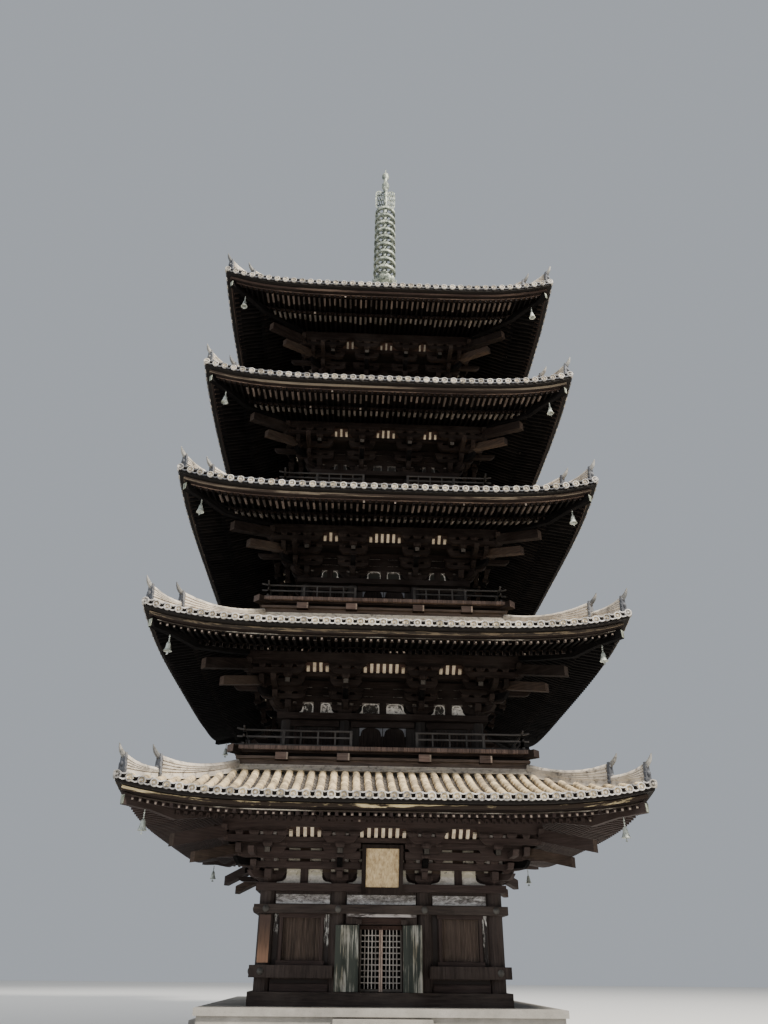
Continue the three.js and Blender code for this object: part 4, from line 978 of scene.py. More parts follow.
def hip_rafters(k, line):
    part = Part()
    rings = []
    kink, end = line.kink, line.edge - 0.26
    for distance in (HALF[k] + 1.195, (HALF[k] + kink) / 2 + 0.4, kink, kink + 0.5, end):
        under = line.base_under(distance) - 0.13 if distance <= kink else line.flying_under(distance) - 0.14
        low = under + line.rise(distance, distance)
        rings.append(hip_ring(distance, low, [(HIP_HALF, 0), (HIP_HALF, 0.25)]))
    sweep(part, rings)
    low = line.flying_under(end) + line.rise(end, end) - 0.13
    cap = hip_ring(end + 0.012, low, [(0.0525, 0.0), (0.075, 0.2)])
    sweep(part, [[p - 0.09 * DIAGONAL for p in cap], cap], 1)
    part.around()
    part.build(f"hip_rafters_{k + 1}", [SOFFIT[k], METAL_CAP])


def bells(k, line):
    """Wind bells under the hips, each on a linked rod, with a clapper and a wind plate."""
    part = Part()
    reach = EDGE[k] - 0.71
    top = EAVE[k] + LIFT[k] - 1.06 + 0.115
    hook = line.base_under(line.kink) + 0.2 + line.lift(1, reach)
    links = [([(0.016, 0), (0.024, 0.012), (0.016, 0.03)], rise, 8) for rise in (0.03, 0.09, 0.15)]
    for outline, rise, sides in (
        ([(0.05, -0.17), (0.075, -0.235), (0.115, -0.24), (0.09, -0.195), (0.068, -0.12), (0.056, -0.04),
          (0.042, 0.0), (0.02, 0.02), (0, 0.024)], 0, 14),
        ([(0.01, 0.01), (0.01, hook - top)], 0, 6),
        *links,
        ([(0.006, -0.3), (0.006, -0.1)], 0, 6),
    ):
        lathe(part, outline, hip_point(reach, top + rise), sides=sides)
    plate = both_sides([(0.05, -0.02), (0.03, 0.03)])
    prism(part, plate, hip_point(reach, top - 0.31), CROSSWISE, UP, 0.008 * DIAGONAL)
    part.around()
    part.build(f"bells_{k + 1}", [BELL_BRONZE])


def eaves(k):
    line = RoofLine(k)
    rafters(k, line)
    eave_boards(k, line)
    hip_rafters(k, line)
    bells(k, line)


# Brackets

ARM_WIDTH = 0.15
CURVE = ((0.17, 0.0), (0.11, 0.12), (0.06, 0.38), (0.02, 0.72), (0.0, 0.88))
WALL_FRONT = 0.1
PLASTER_FRONT = 0.06
WALL_BEAMS = ((0.38, 0.545), (0.58, 0.79), (0.83, 1.02))
GAP_ROWS = ((0.31, 0.38), (0.545, 0.58), (0.79, 0.83))
LOW_GAP_ROWS = ((0.285, 0.355), (0.545, 0.605), (0.812, 0.864))
LOW_BEAMS = ((0.355, 0.545), (0.605, 0.812), (0.864, 1.02))
OUTER_BEAM = (0.93, 1.05)
PURLIN_FOOT = 1.26
COVING = ((0.79, 1.05), (0.84, 1.09), (0.93, 1.17), (1.0, 1.235), (1.045, 1.28))
TAIL_END = 1.13
TAIL_TIP = 0.63
BAR_HALF = [0.044, 0.044, 0.042, 0.036, 0.034]
# Room for the sign board, to each side of the middle.
SIGN_ROOM = 0.58
# Openings between the blocks, as distances from a bay's middle and from a column's axis.
BAY_GAPS = [((0.14, 0.44), (0.31, 0.6)), ((0.17, 0.41), (0.3, 0.58)), ((0.0, 0.27), (0.12, 0.48)),
            ((0.0, 0.16), (0.1, 0.32)), ((0.0, 0.16), (0.1, 0.3))]
AXIS_GAPS = [(0.12, 0.235), (0.12, 0.24), (0.11, 0.22), (0.1, 0.2), (0.1, 0.2)]
# Reach of an arched panel's body and of its flare from the bay's middle, for side and middle bays.
PANEL_REACH = [((0.47, 0.73), (0.65, 0.9)), ((0.43, 0.645), (0.62, 0.845)), ((0.26, 0.36), (0.53, 0.63)),
               ((0.22, 0.32), (0.4, 0.5)), ((0.2, 0.3), (0.33, 0.43))]
PANEL_RIM = 0.055


class Spot:
    """A place on the column line with its own outward and sideways directions."""

    def __init__(self, x, half, plate, diagonal=False):
        self.origin = np.array([x, -half, plate])
        self.out = np.array([1.0, -1.0, 0.0]) if diagonal else OUTWARD
        self.side = CROSSWISE if diagonal else SIDEWAYS
        self.forward = unit(self.out)

    def at(self, out, side, level):
        return self.origin + out * self.out + side * self.side + level * UP


def curved_end(reach, level, height, scale=1.0):
    """Points of an arm's end, from its flat underside round and up to its top."""
    return [(reach - a * scale, level + b * height) for a, b in CURVE] + [(reach, level + height)]


def side_arm(part, spot, out, level, reach, height, far=None, width=ARM_WIDTH):
    """An arm along the wall. far is its reach on the right where that is longer."""
    outline = flipped(curved_end(reach, level, height)) + curved_end(far or reach, level, height)
    prism(part, outline, spot.at(out, 0, 0) - spot.forward * width / 2, spot.side, UP, spot.forward * width)


def out_arm(part, spot, inner, outer, level, height, material=0):
    """An arm that projects from the wall."""
    outline = [(inner, level)] + curved_end(outer, level, height, 1 / np.linalg.norm(spot.out))
    outline.append((inner, level + height))
    prism(part, outline, spot.at(0, -ARM_WIDTH / 2, 0), spot.out, UP, spot.side * ARM_WIDTH, material)


def tail_rafter(part, spot, inner, outer, tip, height, width, end_material=1, material=3):
    """A rafter that slopes down and out. tip is the level under its end."""
    rise = BASE_SLOPE * (outer - inner)
    outline = [(inner, tip + rise), (outer, tip), (outer, tip + height), (inner, tip + rise + height)]
    prism(part, outline, spot.at(0, -width / 2, 0), spot.out, UP, spot.side * width, material)
    face = rectangle((outer, outer + 0.006 / np.linalg.norm(spot.out)), (tip + 0.008, tip + height - 0.008))
    width -= 0.016
    prism(part, face, spot.at(0, -width / 2, 0), spot.out, UP, spot.side * width, end_material)


def cushion_block(part, spot, out, side, level, size, height):
    half, foot = size / 2, size * 0.36
    rings = []
    for reach, rise in ((foot, 0), (foot + 0.012, height * 0.2), (half, height * 0.5), (half, height)):
        centre = spot.at(out, side, level + rise)
        rings.append([centre + a * reach * spot.forward + b * reach * spot.side for a, b in CORNERS])
    sweep(part, rings)


def bracket_set(part, spot, diagonal=False):
    """Arms and blocks in three steps over one column, up to the purlin."""
    cushion_block(part, spot, 0, 0, 0, 0.47, 0.22)
    out_arm(part, spot, -0.1, STEP + 0.12, 0.12, 0.16)
    cushion_block(part, spot, STEP, 0, 0.28, 0.22, 0.08)
    # The second arm and, by default, the tail rafters take slot 3, the near-black timber: painted shade.
    out_arm(part, spot, -0.1, 2 * STEP + 0.1, 0.38, 0.18, 3)
    cushion_block(part, spot, 2 * STEP, 0, 0.56, 0.22, 0.08)
    if diagonal:
        tail_rafter(part, spot, 0.1, 1.76, 0.3, 0.25, 0.2, 2, 2)
        tail_rafter(part, spot, 0.4, 2.23, 0.6, 0.3, 0.22, 2, 0)
        cushion_block(part, spot, 3 * STEP, 0, 0.9, 0.26, 0.12)
        return
    side_arm(part, spot, 0, 0.1, 0.44, 0.19, width=0.18)
    side_arm(part, spot, STEP, 0.36, 0.5, 0.14)
    for side in (-0.38, 0, 0.38):
        cushion_block(part, spot, STEP, side, 0.5, 0.24, 0.08)
    side_arm(part, spot, STEP, 0.58, 0.54, 0.15)
    side_arm(part, spot, 2 * STEP, 0.64, 0.47, 0.2)
    for side in (-0.36, 0, 0.36):
        cushion_block(part, spot, 2 * STEP, side, 0.84, 0.2, 0.09)
    tail_rafter(part, spot, 0.1, TAIL_END, TAIL_TIP, 0.14, 0.15)
    outer_steps(part, spot, 0.64)


def outer_steps(part, spot, far):
    """The third step: a block on the tail rafter, two arms and the blocks between them."""
    cushion_block(part, spot, 3 * STEP, 0, 0.77, 0.24, 0.11)
    side_arm(part, spot, 3 * STEP, 0.88, 0.45, 0.16, far - 0.19)
    for side in (-0.36, 0, 0.36):
        cushion_block(part, spot, 3 * STEP, side, 1.04, 0.27, 0.1)
    side_arm(part, spot, 3 * STEP, 1.14, 0.53, PURLIN_FOOT - 1.14, far)


def corner_side(part, spot):
    """The corner column's own set as seen from the front. Its arms run on past the corner."""
    side_arm(part, spot, 0, 0.1, 0.45, 0.21, STEP + 0.14, width=0.18)
    out_arm(part, spot, -0.1, STEP + 0.12, 0.12, 0.16)
    side_arm(part, spot, STEP, 0.36, 0.5, 0.14, 2 * STEP + 0.1)
    side_arm(part, spot, STEP, 0.58, 0.54, 0.15, 1.62)
    side_arm(part, spot, 2 * STEP, 0.64, 0.47, 0.2, 3 * STEP + 0.1)
    for side in (-0.38, 0, STEP):
        cushion_block(part, spot, STEP, side, 0.5, 0.24, 0.08)
        cushion_block(part, spot, 2 * STEP, side, 0.84, 0.2, 0.09)
    tail_rafter(part, spot, 0.1, TAIL_END, TAIL_TIP, 0.14, 0.15)
    outer_steps(part, spot, 3 * STEP + 0.3)
    for side in (STEP, 2 * STEP, 3 * STEP):
        cushion_block(part, spot, 3 * STEP, side, 1.04, 0.2, 0.1)


def bay_list(k):
    """The three bays of a side: middle, half width, number of white bars, and 1 for the middle bay."""
    half, inner = HALF[k], INNER[k]
    side = (half + inner) / 2
    side_bars, middle_bars = BARS[k]
    side_bays = [(x, (half - inner) / 2, side_bars, 0) for x in (-side, side)]
    return [side_bays[0], (0.0, inner, middle_bars, 1), side_bays[1]]


def filled_rows(part, k, row, in_bays):
    """Blocks between two wall beams, with open gaps beside the bays' middles and the columns' axes."""
    half, plate = HALF[k], PLATE[k]
    gaps = []
    for middle, width, _, kind in bay_list(k):
        near, far = BAY_GAPS[k][kind]
        if in_bays:
            gaps += [(middle - far, middle - near), (middle + near, middle + far)]
        else:
            gaps.append(span(middle, PANEL_REACH[k][kind][0]))
        near, far = AXIS_GAPS[k]
        gaps += [(middle - width + near, middle - width + far), (middle + width - far, middle + width - near)]
    solid_from = -half - WALL_FRONT
    for low, high in sorted(gaps) + [(half, half)]:
        if low - solid_from > 0.01:
            # On the ground storey the fill is lighter brown, painted light against the deep shade between the
            # arms.
            block(part, (solid_from, low), (-0.02, WALL_FRONT - 0.004),
                  (plate + row[0] - 0.004, plate + row[1] + 0.004), 0 if k else 2)
        solid_from = max(solid_from, high)


def low_bands(part, half, plate):
    """Extra boards between the ground storey's arms. In front they leave room for the sign."""
    for out, low, high in ((STEP, 0.35, 0.495), (2 * STEP, 0.545, 0.72), (2 * STEP + 0.02, 0.8, 0.94)):
        reach, level = span(half + out, 0.06), (plate + low, plate + high)
        depth = span(out, 0.06)
        start = part.mark()
        for side in (-1, 1):
            block(part, sorted((side * SIGN_ROOM, side * reach[0])), depth, level)
        part.around(start)
        start = part.mark()
        block(part, span(0, SIGN_ROOM), depth, level)
        part.around(start)
        del part.items[start]


def bracket_arms(k, rows):
    half, inner, plate = HALF[k], INNER[k], PLATE[k]
    part = Part(half)
    for x in (-inner, inner):
        bracket_set(part, Spot(x, half, plate))
    for place, row in enumerate(rows):
        filled_rows(part, k, row, place > 0)
    if k == 0:
        # Grey plaster spots between the arms, dimmed as painted shade.
        for x in (-half, -inner, inner, half):
            for side in (-0.17, 0.17):
                for out, width, low, high in ((STEP, 0.045, 0.505, 0.575), (3 * STEP, 0.04, 1.055, 1.12)):
                    block(part, span(x + side, width), (out, out + 0.06), (plate + low, plate + high), 4)
    part.around()
    start = part.mark()
    bracket_set(part, Spot(half, half, plate, True), diagonal=True)
    part.around(start)
    start = part.mark()
    corner_side(part, Spot(half, half, plate))
    part.mirror(start)
    part.around(start)
    part.build(f"bracket_arms_{k + 1}", [SHADE[k], GREY_WOOD, BROWN, DEEP_SHADE_TIMBER, PLASTER_DOT_SHADED],
               replaces=[f"brackets_{k + 1}"])


def bracket_beams(k):
    half, plate = HALF[k], PLATE[k]
    rafter_foot = RoofLine(k).base_under
    part = Part(half)
    square(part, (half - 0.25, half + 0.3), (plate - 0.18, plate))
    for low, high in WALL_BEAMS if k else LOW_BEAMS:
        square(part, span(half, WALL_FRONT), (plate + low, plate + high))
    square(part, span(half + 2 * STEP, 0.08), (plate + OUTER_BEAM[0], plate + OUTER_BEAM[1]))
    if k == 0:
        low_bands(part, half, plate)
    square(part, span(half + 3 * STEP, 0.085), (plate + PURLIN_FOOT, rafter_foot(half + 3 * STEP) - 0.015))
    # Slot 1 is near-black painted shadow on the upper storeys and the lighter ground timber, painted light,
    # on the ground storey.
    square(part, (half - 0.1, half - 0.03), (plate, rafter_foot(half) - 0.02), 1)
    square(part, (half + 0.05, half + 2 * STEP), (plate + 1.055, plate + 1.085), 1)
    coving = [(half + a - 0.03, plate + b + 0.045) for a, b in COVING]
    band(part, coving + [(a - 0.02, b + 0.03) for a, b in reversed(coving)], 2)
    start = part.mark()
    for middle, _, _, _ in bay_list(k):
        block(part, span(middle, 0.1), (-0.02, WALL_FRONT - 0.01), (plate, plate + 0.38), along=UP)
    part.around(start)
    part.build(f"bracket_beams_{k + 1}", [SHADE[k], SHADOW if k else GROUND_TIMBER_LIGHTER, RED_BROWN])


def white_panels(k, rows):
    """Plaster behind the gaps, the white bars of the coving, and the arched panels."""
    half, plate = HALF[k], PLATE[k]
    part = Part(half)
    bar_half = BAR_HALF[k]
    for middle, width, bars, kind in bay_list(k):
        for low, high in rows:
            front = 0.09 if k == 0 and low > 0.4 else PLASTER_FRONT - 0.005
            level = (plate + low - 0.01, plate + high + 0.01)
            block(part, span(middle, width), (front - 0.03, front), level, 2, tone=0.4)
        for index in range(bars):
            x = middle + (index - (bars - 1) / 2) * PITCH
            short = bars > 2 and index in (0, bars - 1)
            curve = COVING[:3] if short else COVING if k < 3 else COVING[:4]
            outline = list(curve) + [(a - 0.03, b + 0.05) for a, b in reversed(curve)]
            prism(part, outline, (x - bar_half, -half, plate), OUTWARD, UP, (2 * bar_half, 0, 0), 1)
        panels(part, k, middle, kind)
    part.around()
    # On the top storey the bars' paint, and above the ground storey the slots' plaster, take dim copies:
    # painted shade.
    part.build(f"white_panels_{k + 1}", [PANEL_PLASTER[k], CREAM if k < 4 else CREAM_PAINT_SHADED,
                                         SLOT_PLASTER_SHADED if k else SLOT_PLASTER])


def panels(part, k, middle, kind):
    """Arched panels to both sides of a bay's middle, or one across it, each with a flare at its foot."""
    body, tip = PANEL_REACH[k][kind]
    single = k >= 2 and kind == 0
    shoulder = [(body, 0.015), (body, 0.245), (body - 0.025, 0.295), (body - 0.075, 0.34),
                (body - 0.12, 0.355)]
    if single:
        outline = both_sides(shoulder)
    else:
        outline = [(0.105, 0.015)] + shoulder + [(0.185, 0.355), (0.125, 0.315), (0.105, 0.25)]
    flare = [(body - 0.005, 0.015), (tip, 0.015), (tip - 0.02, 0.04), (body + 0.1, 0.06),
             (body + 0.04, 0.095), (body - 0.002, 0.17)]
    for side in (-1, 1):
        worn = (0.0, 0.9 if side < 0 else 0.45, 1.0, 1.0, 1.0)[k]
        if not single or side > 0:
            rimmed(part, outline, middle, side, k, worn)
        prism(part, flare, (middle, -HALF[k] - 0.058, PLATE[k]), (side, 0, 0), UP, (0, 0.03, 0), tone=0.0)


def rimmed(part, outline, middle, side, k, worn):
    """A plaster panel whose rim keeps its white while the middle may be worn."""
    centre = np.mean(outline, 0)
    shrink = 1 - PANEL_RIM / np.abs(np.array(outline) - centre).max(0)
    inset = [centre + (np.array(p) - centre) * shrink for p in outline]
    front = -HALF[k] - PLASTER_FRONT
    rings = ((outline, front), (inset, front), (inset, front + 0.006), (outline, front + 0.03))
    points = [(middle + side * a, y, PLATE[k] + b) for ring, y in rings for a, b in ring]
    size = len(outline)
    rim, edge, step = ([(n + a, (n + 1) % size + a, (n + 1) % size + b, n + b) for n in range(size)]
                       for a, b in ((0, size), (3 * size, 0), (size, 2 * size)))
    middle_face, back = tuple(range(2 * size, 3 * size)), tuple(reversed(range(3 * size, 4 * size)))
    tone = np.repeat([0.0, worn, worn, 0.0], size)
    part.add(points, [*rim, middle_face, *edge, back, *step], tone=tone)


def brackets(k):
    rows = GAP_ROWS if k else LOW_GAP_ROWS
    bracket_arms(k, rows)
    bracket_beams(k)
    white_panels(k, rows)


# Balconies

BOARD_WIDTH = 0.15
BALCONY_BAND = 0.105
BEAM_END_HALF = 0.175
BEAM_END_LEVELS = (0.365, 0.165)
RAIL_REACH = 1.08
RAIL_RADIUS = 0.028
GATE_HALF = 0.88


def balcony_floor(k):
    half, inner, floor = HALF[k], INNER[k], FLOOR[k]
    edge, base = half + BALCONY_REACH, half + BASE_REACH
    part = Part()
    boards = int(2 * edge / BOARD_WIDTH)
    width = 2 * edge / boards
    for n in range(boards):
        x = -edge + n * width
        reach = max(abs(x + width / 2) + 0.005, half - 0.3)
        if edge - reach < 0.05:
            continue
        side = (x + 0.004, x + width - 0.004)
        drop = random.uniform(0, 0.004)
        block(part, side, (reach, edge - 0.1), (floor - 0.055, floor - drop), 0, INWARD)
        front = (edge - 0.1, edge - random.uniform(0, 0.004))
        block(part, side, front, (floor - BALCONY_BAND, floor - drop), 4, UP)
    part.around()
    # The last board, in slot 2, is near-black: painted shadow behind the strips.
    for near, far, low, high, material in ((edge - 0.2, edge - 0.1, 0.17, 0.058, 1),
                                           (base, base + 0.1, 0.33, 0.26, 5),
                                           (base - 0.1, base, 0.55, 0.33, 5),
                                           (base - 0.25, base - 0.12, 0.36, 0.1, 2)):
        square(part, (near, far), (floor - low, floor - high), material)
    start = part.mark()
    low, high = (floor - drop for drop in BEAM_END_LEVELS)
    face, level = (edge - 0.052, edge - 0.042), (low + 0.005, high - 0.005)
    for x in (-half, -inner, inner, half):
        left, right = span(x, BEAM_END_HALF)
        block(part, (left, right), (base - 0.5, edge - 0.05), (low, high), 1, INWARD)
        block(part, (left + 0.005, right - 0.05), face, level, 4)
        # A pale strip on each end's right edge: painted highlight of sunlight.
        block(part, (right - 0.048, right - 0.004), face, level, 3)
    part.around(start)
    start = part.mark()
    section = [(0.13, 0), (0.13, 0.195)]
    rings = [hip_ring(distance, floor - 0.2, section) for distance in (base - 0.35, edge + 0.03)]
    sweep(part, rings, 1)
    sweep(part, [rings[1], [p + 0.008 * DIAGONAL for p in rings[1]]], 4)
    part.around(start)
    part.build(f"balcony_floor_{k + 1}", [BROWN, DARK, SHADOW, END_GRAIN, PINK_BOARD, BAR_WOOD],
               replaces=[f"balcony_{k + 1}"])


def railing(k):
    half, floor = HALF[k], FLOOR[k]
    line = half + RAIL_REACH
    gate = min(GATE_HALF, INNER[k] - 0.12)
    end = line + 0.2
    part = Part(line)
    for side in (-1, 1):
        for level, size in ((floor + 0.05, 0.08), (floor + 0.29, 0.045)):
            bar(part, (side * gate, -line, level), (side * end, -line, level), size * 0.8, size)
        rings = []
        for x, rise in ((gate, 0), (line - 0.2, 0), (line, 0.005), (line + 0.1, 0.02), (end + 0.02, 0.05)):
            level = floor + 0.47 + rise
            rings.append([(side * x, RAIL_RADIUS * math.cos(a) - line, RAIL_RADIUS * math.sin(a) + level)
                          for a in OCTAGON])
        sweep(part, rings, smooth=True)
        for x in (gate + 0.04, half, line):
            block(part, span(side * x, 0.035), (-0.035, 0.035), (floor, floor + 0.44), along=UP)
            cushion_block(part, Spot(side * x, line, floor), 0, 0, 0.4, 0.08, 0.045)
        for share in (0.25, 0.5, 0.75):
            x = side * (gate + (half - gate) * share)
            block(part, span(x, 0.02), (-0.02, 0.02), (floor + 0.09, floor + 0.45), along=UP)
    part.around()
    part.build(f"railing_{k + 1}", [RAIL_WOOD])


# Walls of the upper storeys

DOOR_HALF = 0.69
DOOR_LEVELS = (0.14, 0.885)
UPPER_BAR_PITCH = 0.085
UPPER_FITTING = [(0, 0), (0.24, 0), (0.235, -0.018), (0.15, -0.045), (0.095, -0.08), (0.06, -0.13),
                 (0.04, -0.2), (0.03, -0.26), (0, -0.26)]
LOWER_FITTING = [(0, 0), (0.09, 0), (0.05, 0.03), (0.03, 0.11), (0, 0.13)]


def upper_front(k):
    """Beams, doors and barred windows on the wall of an upper storey."""
    half, inner, floor, plate = HALF[k], INNER[k], FLOOR[k], PLATE[k]
    radius = COLUMN_RADIUS[k]
    part = Part(half)
    for level in ((floor + 0.02, floor + 0.14), (plate - 0.36, plate - 0.19)):
        for side in (-1, 1):
            ends = sorted((side * (inner + radius - 0.02), side * (half - 0.04)))
            block(part, ends, (0.05, 0.13), level)
        block(part, span(0, inner - radius), (0.05, 0.13), level)
    door_half = min(DOOR_HALF, inner - radius - 0.06)
    door = (floor + DOOR_LEVELS[0], floor + DOOR_LEVELS[1])
    room = (half - inner) / 2 - radius - 0.1
    count = int(2 * room / UPPER_BAR_PITCH)
    for side in (-1, 1):
        leaf = sorted((side * 0.012, side * (door_half - 0.012)))
        block(part, leaf, (0.018, 0.045), door, along=UP)
        door_fittings(part, leaf, door)
        middle = side * (half + inner) / 2
        for n in range(count):
            x = middle - room + (n + 0.5) * 2 * room / count
            block(part, span(x, 0.022), (0.05, 0.085), (floor + 0.26, plate - 0.42), along=UP)
        for x in span(middle, room + 0.03):
            block(part, span(x, 0.035), (0.05, 0.11), (floor + 0.2, plate - 0.36), along=UP)
        block(part, span(middle, room + 0.06), (0.05, 0.115), (floor + 0.2, floor + 0.26))
    part.around()
    part.build(f"wall_trim_{k + 1}", [DARK, GREY_METAL])


def door_fittings(part, leaf, levels):
    """Metal plates on a leaf's corners. The upper two leave an arch between them."""
    for corner, inward in zip(leaf, (1, -1)):
        for outline, level in ((UPPER_FITTING, levels[1]), (LOWER_FITTING, levels[0])):
            outline = [(inward * a, b) for a, b in outline]
            prism(part, outline, (corner, -part.wall - 0.051, level), SIDEWAYS, UP, (0, 0.008, 0), 1)


# Ground storey

WINDOW_BARS = 26
BAR_ROOM = 0.96
BAR_FOOT, BAR_LENGTH = 1.775, 0.965
SILL, HEAD = (1.672, 1.77), (2.735, 2.828)
HEAD_PLASTER = (3.06, 3.28)
NAIL = [(0.085, 0), (0.08, 0.02), (0.045, 0.045), (0, 0.055)]
NAIL_LEVELS = (2.93, 1.535)


def ground_storey():
    half, inner = HALF[0], INNER[0]
    part = Part(half)
    trim = Part(half)
    pitch = BAR_ROOM / WINDOW_BARS
    for side in (-1, 1):
        bay = side * (half + inner) / 2
        for n in range(WINDOW_BARS):
            x = bay + (n - (WINDOW_BARS - 1) / 2) * pitch
            left, right = span(x, pitch / 2 + 0.0005)
            section = [(left, 0), (x, 0.02), (right, 0), (x, -0.02)]
            prism(part, section, (0, -half, BAR_FOOT), SIDEWAYS, OUTWARD, (0, 0, BAR_LENGTH), 1, along=UP)
        for x in span(bay, 0.52):
            block(part, span(x, 0.04), (0.05, 0.13), (SILL[0], HEAD[1]), along=UP)
        block(part, span(bay, 0.6), (0.05, 0.17), SILL)
        block(part, span(bay, 0.6), (0.05, 0.15), HEAD)
        for left, right, paint in ((-0.71, -0.6, 0.6 if side < 0 else 0.3), (0.585, 0.7, 0.7)):
            block(trim, (bay + left, bay + right), (0.05, 0.062), (1.69, 2.82), 1, tone=paint)
        block(trim, span(bay, 0.72), (0.05, 0.06), (1.29, 1.365), 1, tone=0.6)
        block(trim, span(bay, 0.7), (0.05, 0.075), HEAD_PLASTER)
        block(part, span(bay, 0.72), (0.05, 0.12), (1.105, 1.27))
    block(trim, span(0, 0.9), (0.05, 0.075), HEAD_PLASTER)
    for places, level in zip(((-half, -inner, inner, half), span(0, half + 0.03)), NAIL_LEVELS):
        for x in places:
            lathe(trim, NAIL, (x, -half - 0.31, level), OUTWARD, 12, 2)
    part.around()
    trim.around()
    part.build("window_bars", [GROUND_TIMBER_LIGHTER, BAR_WOOD])
    trim.build("wall_plaster", [STAINED, PEELED, NAIL_METAL])
    head = Part(half)
    block(head, span(0, 0.6), (0.19, 0.215), (2.6, HEAD[0]))
    block(head, span(0, 0.9), (0.19, 0.25), (2.76, HEAD[1]), 1)
    head.build("door_head_boards", [RED_BROWN, HEAD_STRIP])
    stops = Part(half)
    block(stops, span(0, 0.95), (0.08, 0.2), (2.54, 2.62))
    stops.around()
    del stops.items[0]
    stops.build("door_stops", [GROUND_TIMBER_LIGHTER])


LEAF_SPAN = (0.005, 0.538)
LEAF_LEVELS = (1.112, 2.573)
LEAF_FRAME = 0.04
LEAF_COLUMNS, LEAF_ROWS = 5, 10
LEAF_HEAD = 0.095
LEAF_FOOT = 0.06


def lattice_leaf(side):
    part = Part(HALF[0])
    near, far = LEAF_SPAN
    low, high = LEAF_LEVELS
    head = high - LEAF_HEAD
    for a, b, material in ((near, near + LEAF_FRAME, 1), (far - LEAF_FRAME, far, 2)):
        block(part, sorted((side * a, side * b)), (-0.019, 0.019), (low, head), material, UP)
    opening = sorted((side * (near + LEAF_FRAME - 0.002), side * (far - LEAF_FRAME + 0.002)))
    block(part, opening, (-0.018, 0.018), (low, low + LEAF_FOOT), 2)
    block(part, sorted((side * near, side * far)), (-0.019, 0.019), (head, high), 3)
    room = far - near - 2 * LEAF_FRAME
    for n in range(1, LEAF_COLUMNS):
        x = side * (near + LEAF_FRAME + room * n / LEAF_COLUMNS)
        block(part, span(x, 0.013), (-0.012, 0.014), (low + 0.05, head + 0.01), along=UP)
    for n in range(1, LEAF_ROWS):
        level = low + LEAF_FOOT + (head - low - LEAF_FOOT) * n / LEAF_ROWS
        block(part, opening, (-0.014, 0.012), span(level, 0.012))
    name = "left" if side < 0 else "right"
    part.build(f"lattice_bars_{name}", [LATTICE_WOOD, PALE_STILE, GREY_WOOD, RED_BROWN],
               body=f"lattice_door_{name}", replaces=[f"front_lattice_door_{name}"])


SIGN_FOOT = (0.33, 3.31)
SIGN_HEAD = (0.79, 4.44)


def sign_board():
    """A bare framed board that leans out over the door. Its foot and head are given as reach and level."""
    half = HALF[0]
    part = Part(half)
    near, low = SIGN_FOOT
    slope = np.array([0, near - SIGN_HEAD[0], SIGN_HEAD[1] - low])
    length = np.linalg.norm(slope)
    rise = slope / length
    face = unit(np.cross(SIDEWAYS, rise))
    origin = np.array([0, -half - near, low])
    for across, along, back, depth, material in (((-0.47, 0.47), (0.06, length - 0.06), 0, 0.03, 1),
                                                 ((-0.54, -0.43), (0, length), 0, 0.07, 0),
                                                 ((0.43, 0.54), (0, length), 0, 0.07, 0),
                                                 ((-0.54, 0.54), (0, 0.15), -0.01, 0.075, 0),
                                                 ((-0.54, 0.54), (length - 0.1, length), -0.01, 0.075, 0)):
        start = origin + face * back
        prism(part, rectangle(across, along), start, SIDEWAYS, rise, face * depth, material, rise)
    for x in (-0.3, 0.3):
        block(part, span(x, 0.04), (0.3, 0.37), (low + 0.02, low + 0.12))
    part.build("sign_plate", [DARK, SIGN_FACE], replaces=["sign_board"])


# Bronze spire

RING_COUNT = 9
RING_LEVELS = (29.56, 33.616)
RING_REACH = (0.53, 0.5)
SPOKES = 8
PETALS = 12
FLAME_FOOT = 34.031
FLAME_RIM = [(0.09, 0.0), (0.25, 0.0), (0.39, 0.05), (0.445, 0.2), (0.465, 0.5), (0.46, 0.95), (0.45, 1.2),
             (0.4, 1.3), (0.3, 1.33), (0.2, 1.3), (0.1, 1.22)]


def ray(angle):
    """The outward and the sideways direction at an angle round the spire."""
    outward = np.array([math.cos(angle), math.sin(angle), 0])
    return outward, np.array([-outward[1], outward[0], 0])


def spire_base():
    """A square box with panels, a bowl and a cup of lotus petals."""
    part = Part()
    band(part, [(0.62, 27.001), (0.62, 27.62), (0.66, 27.64), (0.74, 27.66), (0.74, 27.73), (0.7, 27.75),
                (0.2, 27.75), (0.2, 27.001)])
    lathe(part, [(0.5, 27.71), (0.5, 27.8), (0.495, 27.95), (0.46, 28.08), (0.375, 28.18), (0.2, 28.26),
                 (0.18, 28.33), (0.16, 28.51), (0.16, 28.7), (0.2, 28.72)], (0, 0, 0), sides=28)
    for foot, tilt, spread in ((28.68, 0.0, 0.5), (28.7, 0.5, 0.56)):
        for petal in range(PETALS):
            outward, across = ray(2 * math.pi * (petal + tilt) / PETALS)
            rings = []
            for out, rise, half in ((0.2, 0.0, 0.05), (spread * 0.8, 0.06, 0.1), (spread * 0.97, 0.18, 0.105),
                                    (spread, 0.28, 0.07), (spread * 0.985, 0.33, 0.015)):
                section = ((0, half, 0), (0.02, 0, -0.01), (0, -half, 0), (-0.03, 0, 0.01))
                centre = outward * out + UP * (foot + rise)
                rings.append([centre + outward * a + across * b + UP * c for a, b, c in section])
            sweep(part, rings, smooth=True)
    lathe(part, [(0.18, 28.7), (0.4, 28.8), (0.47, 28.95), (0.45, 28.99), (0.1, 29.0), (0.1, 29.05)],
          (0, 0, 0), sides=20)
    part.build("spire_bowl", [SPIRE_BRONZE], replaces=["spire_base"])


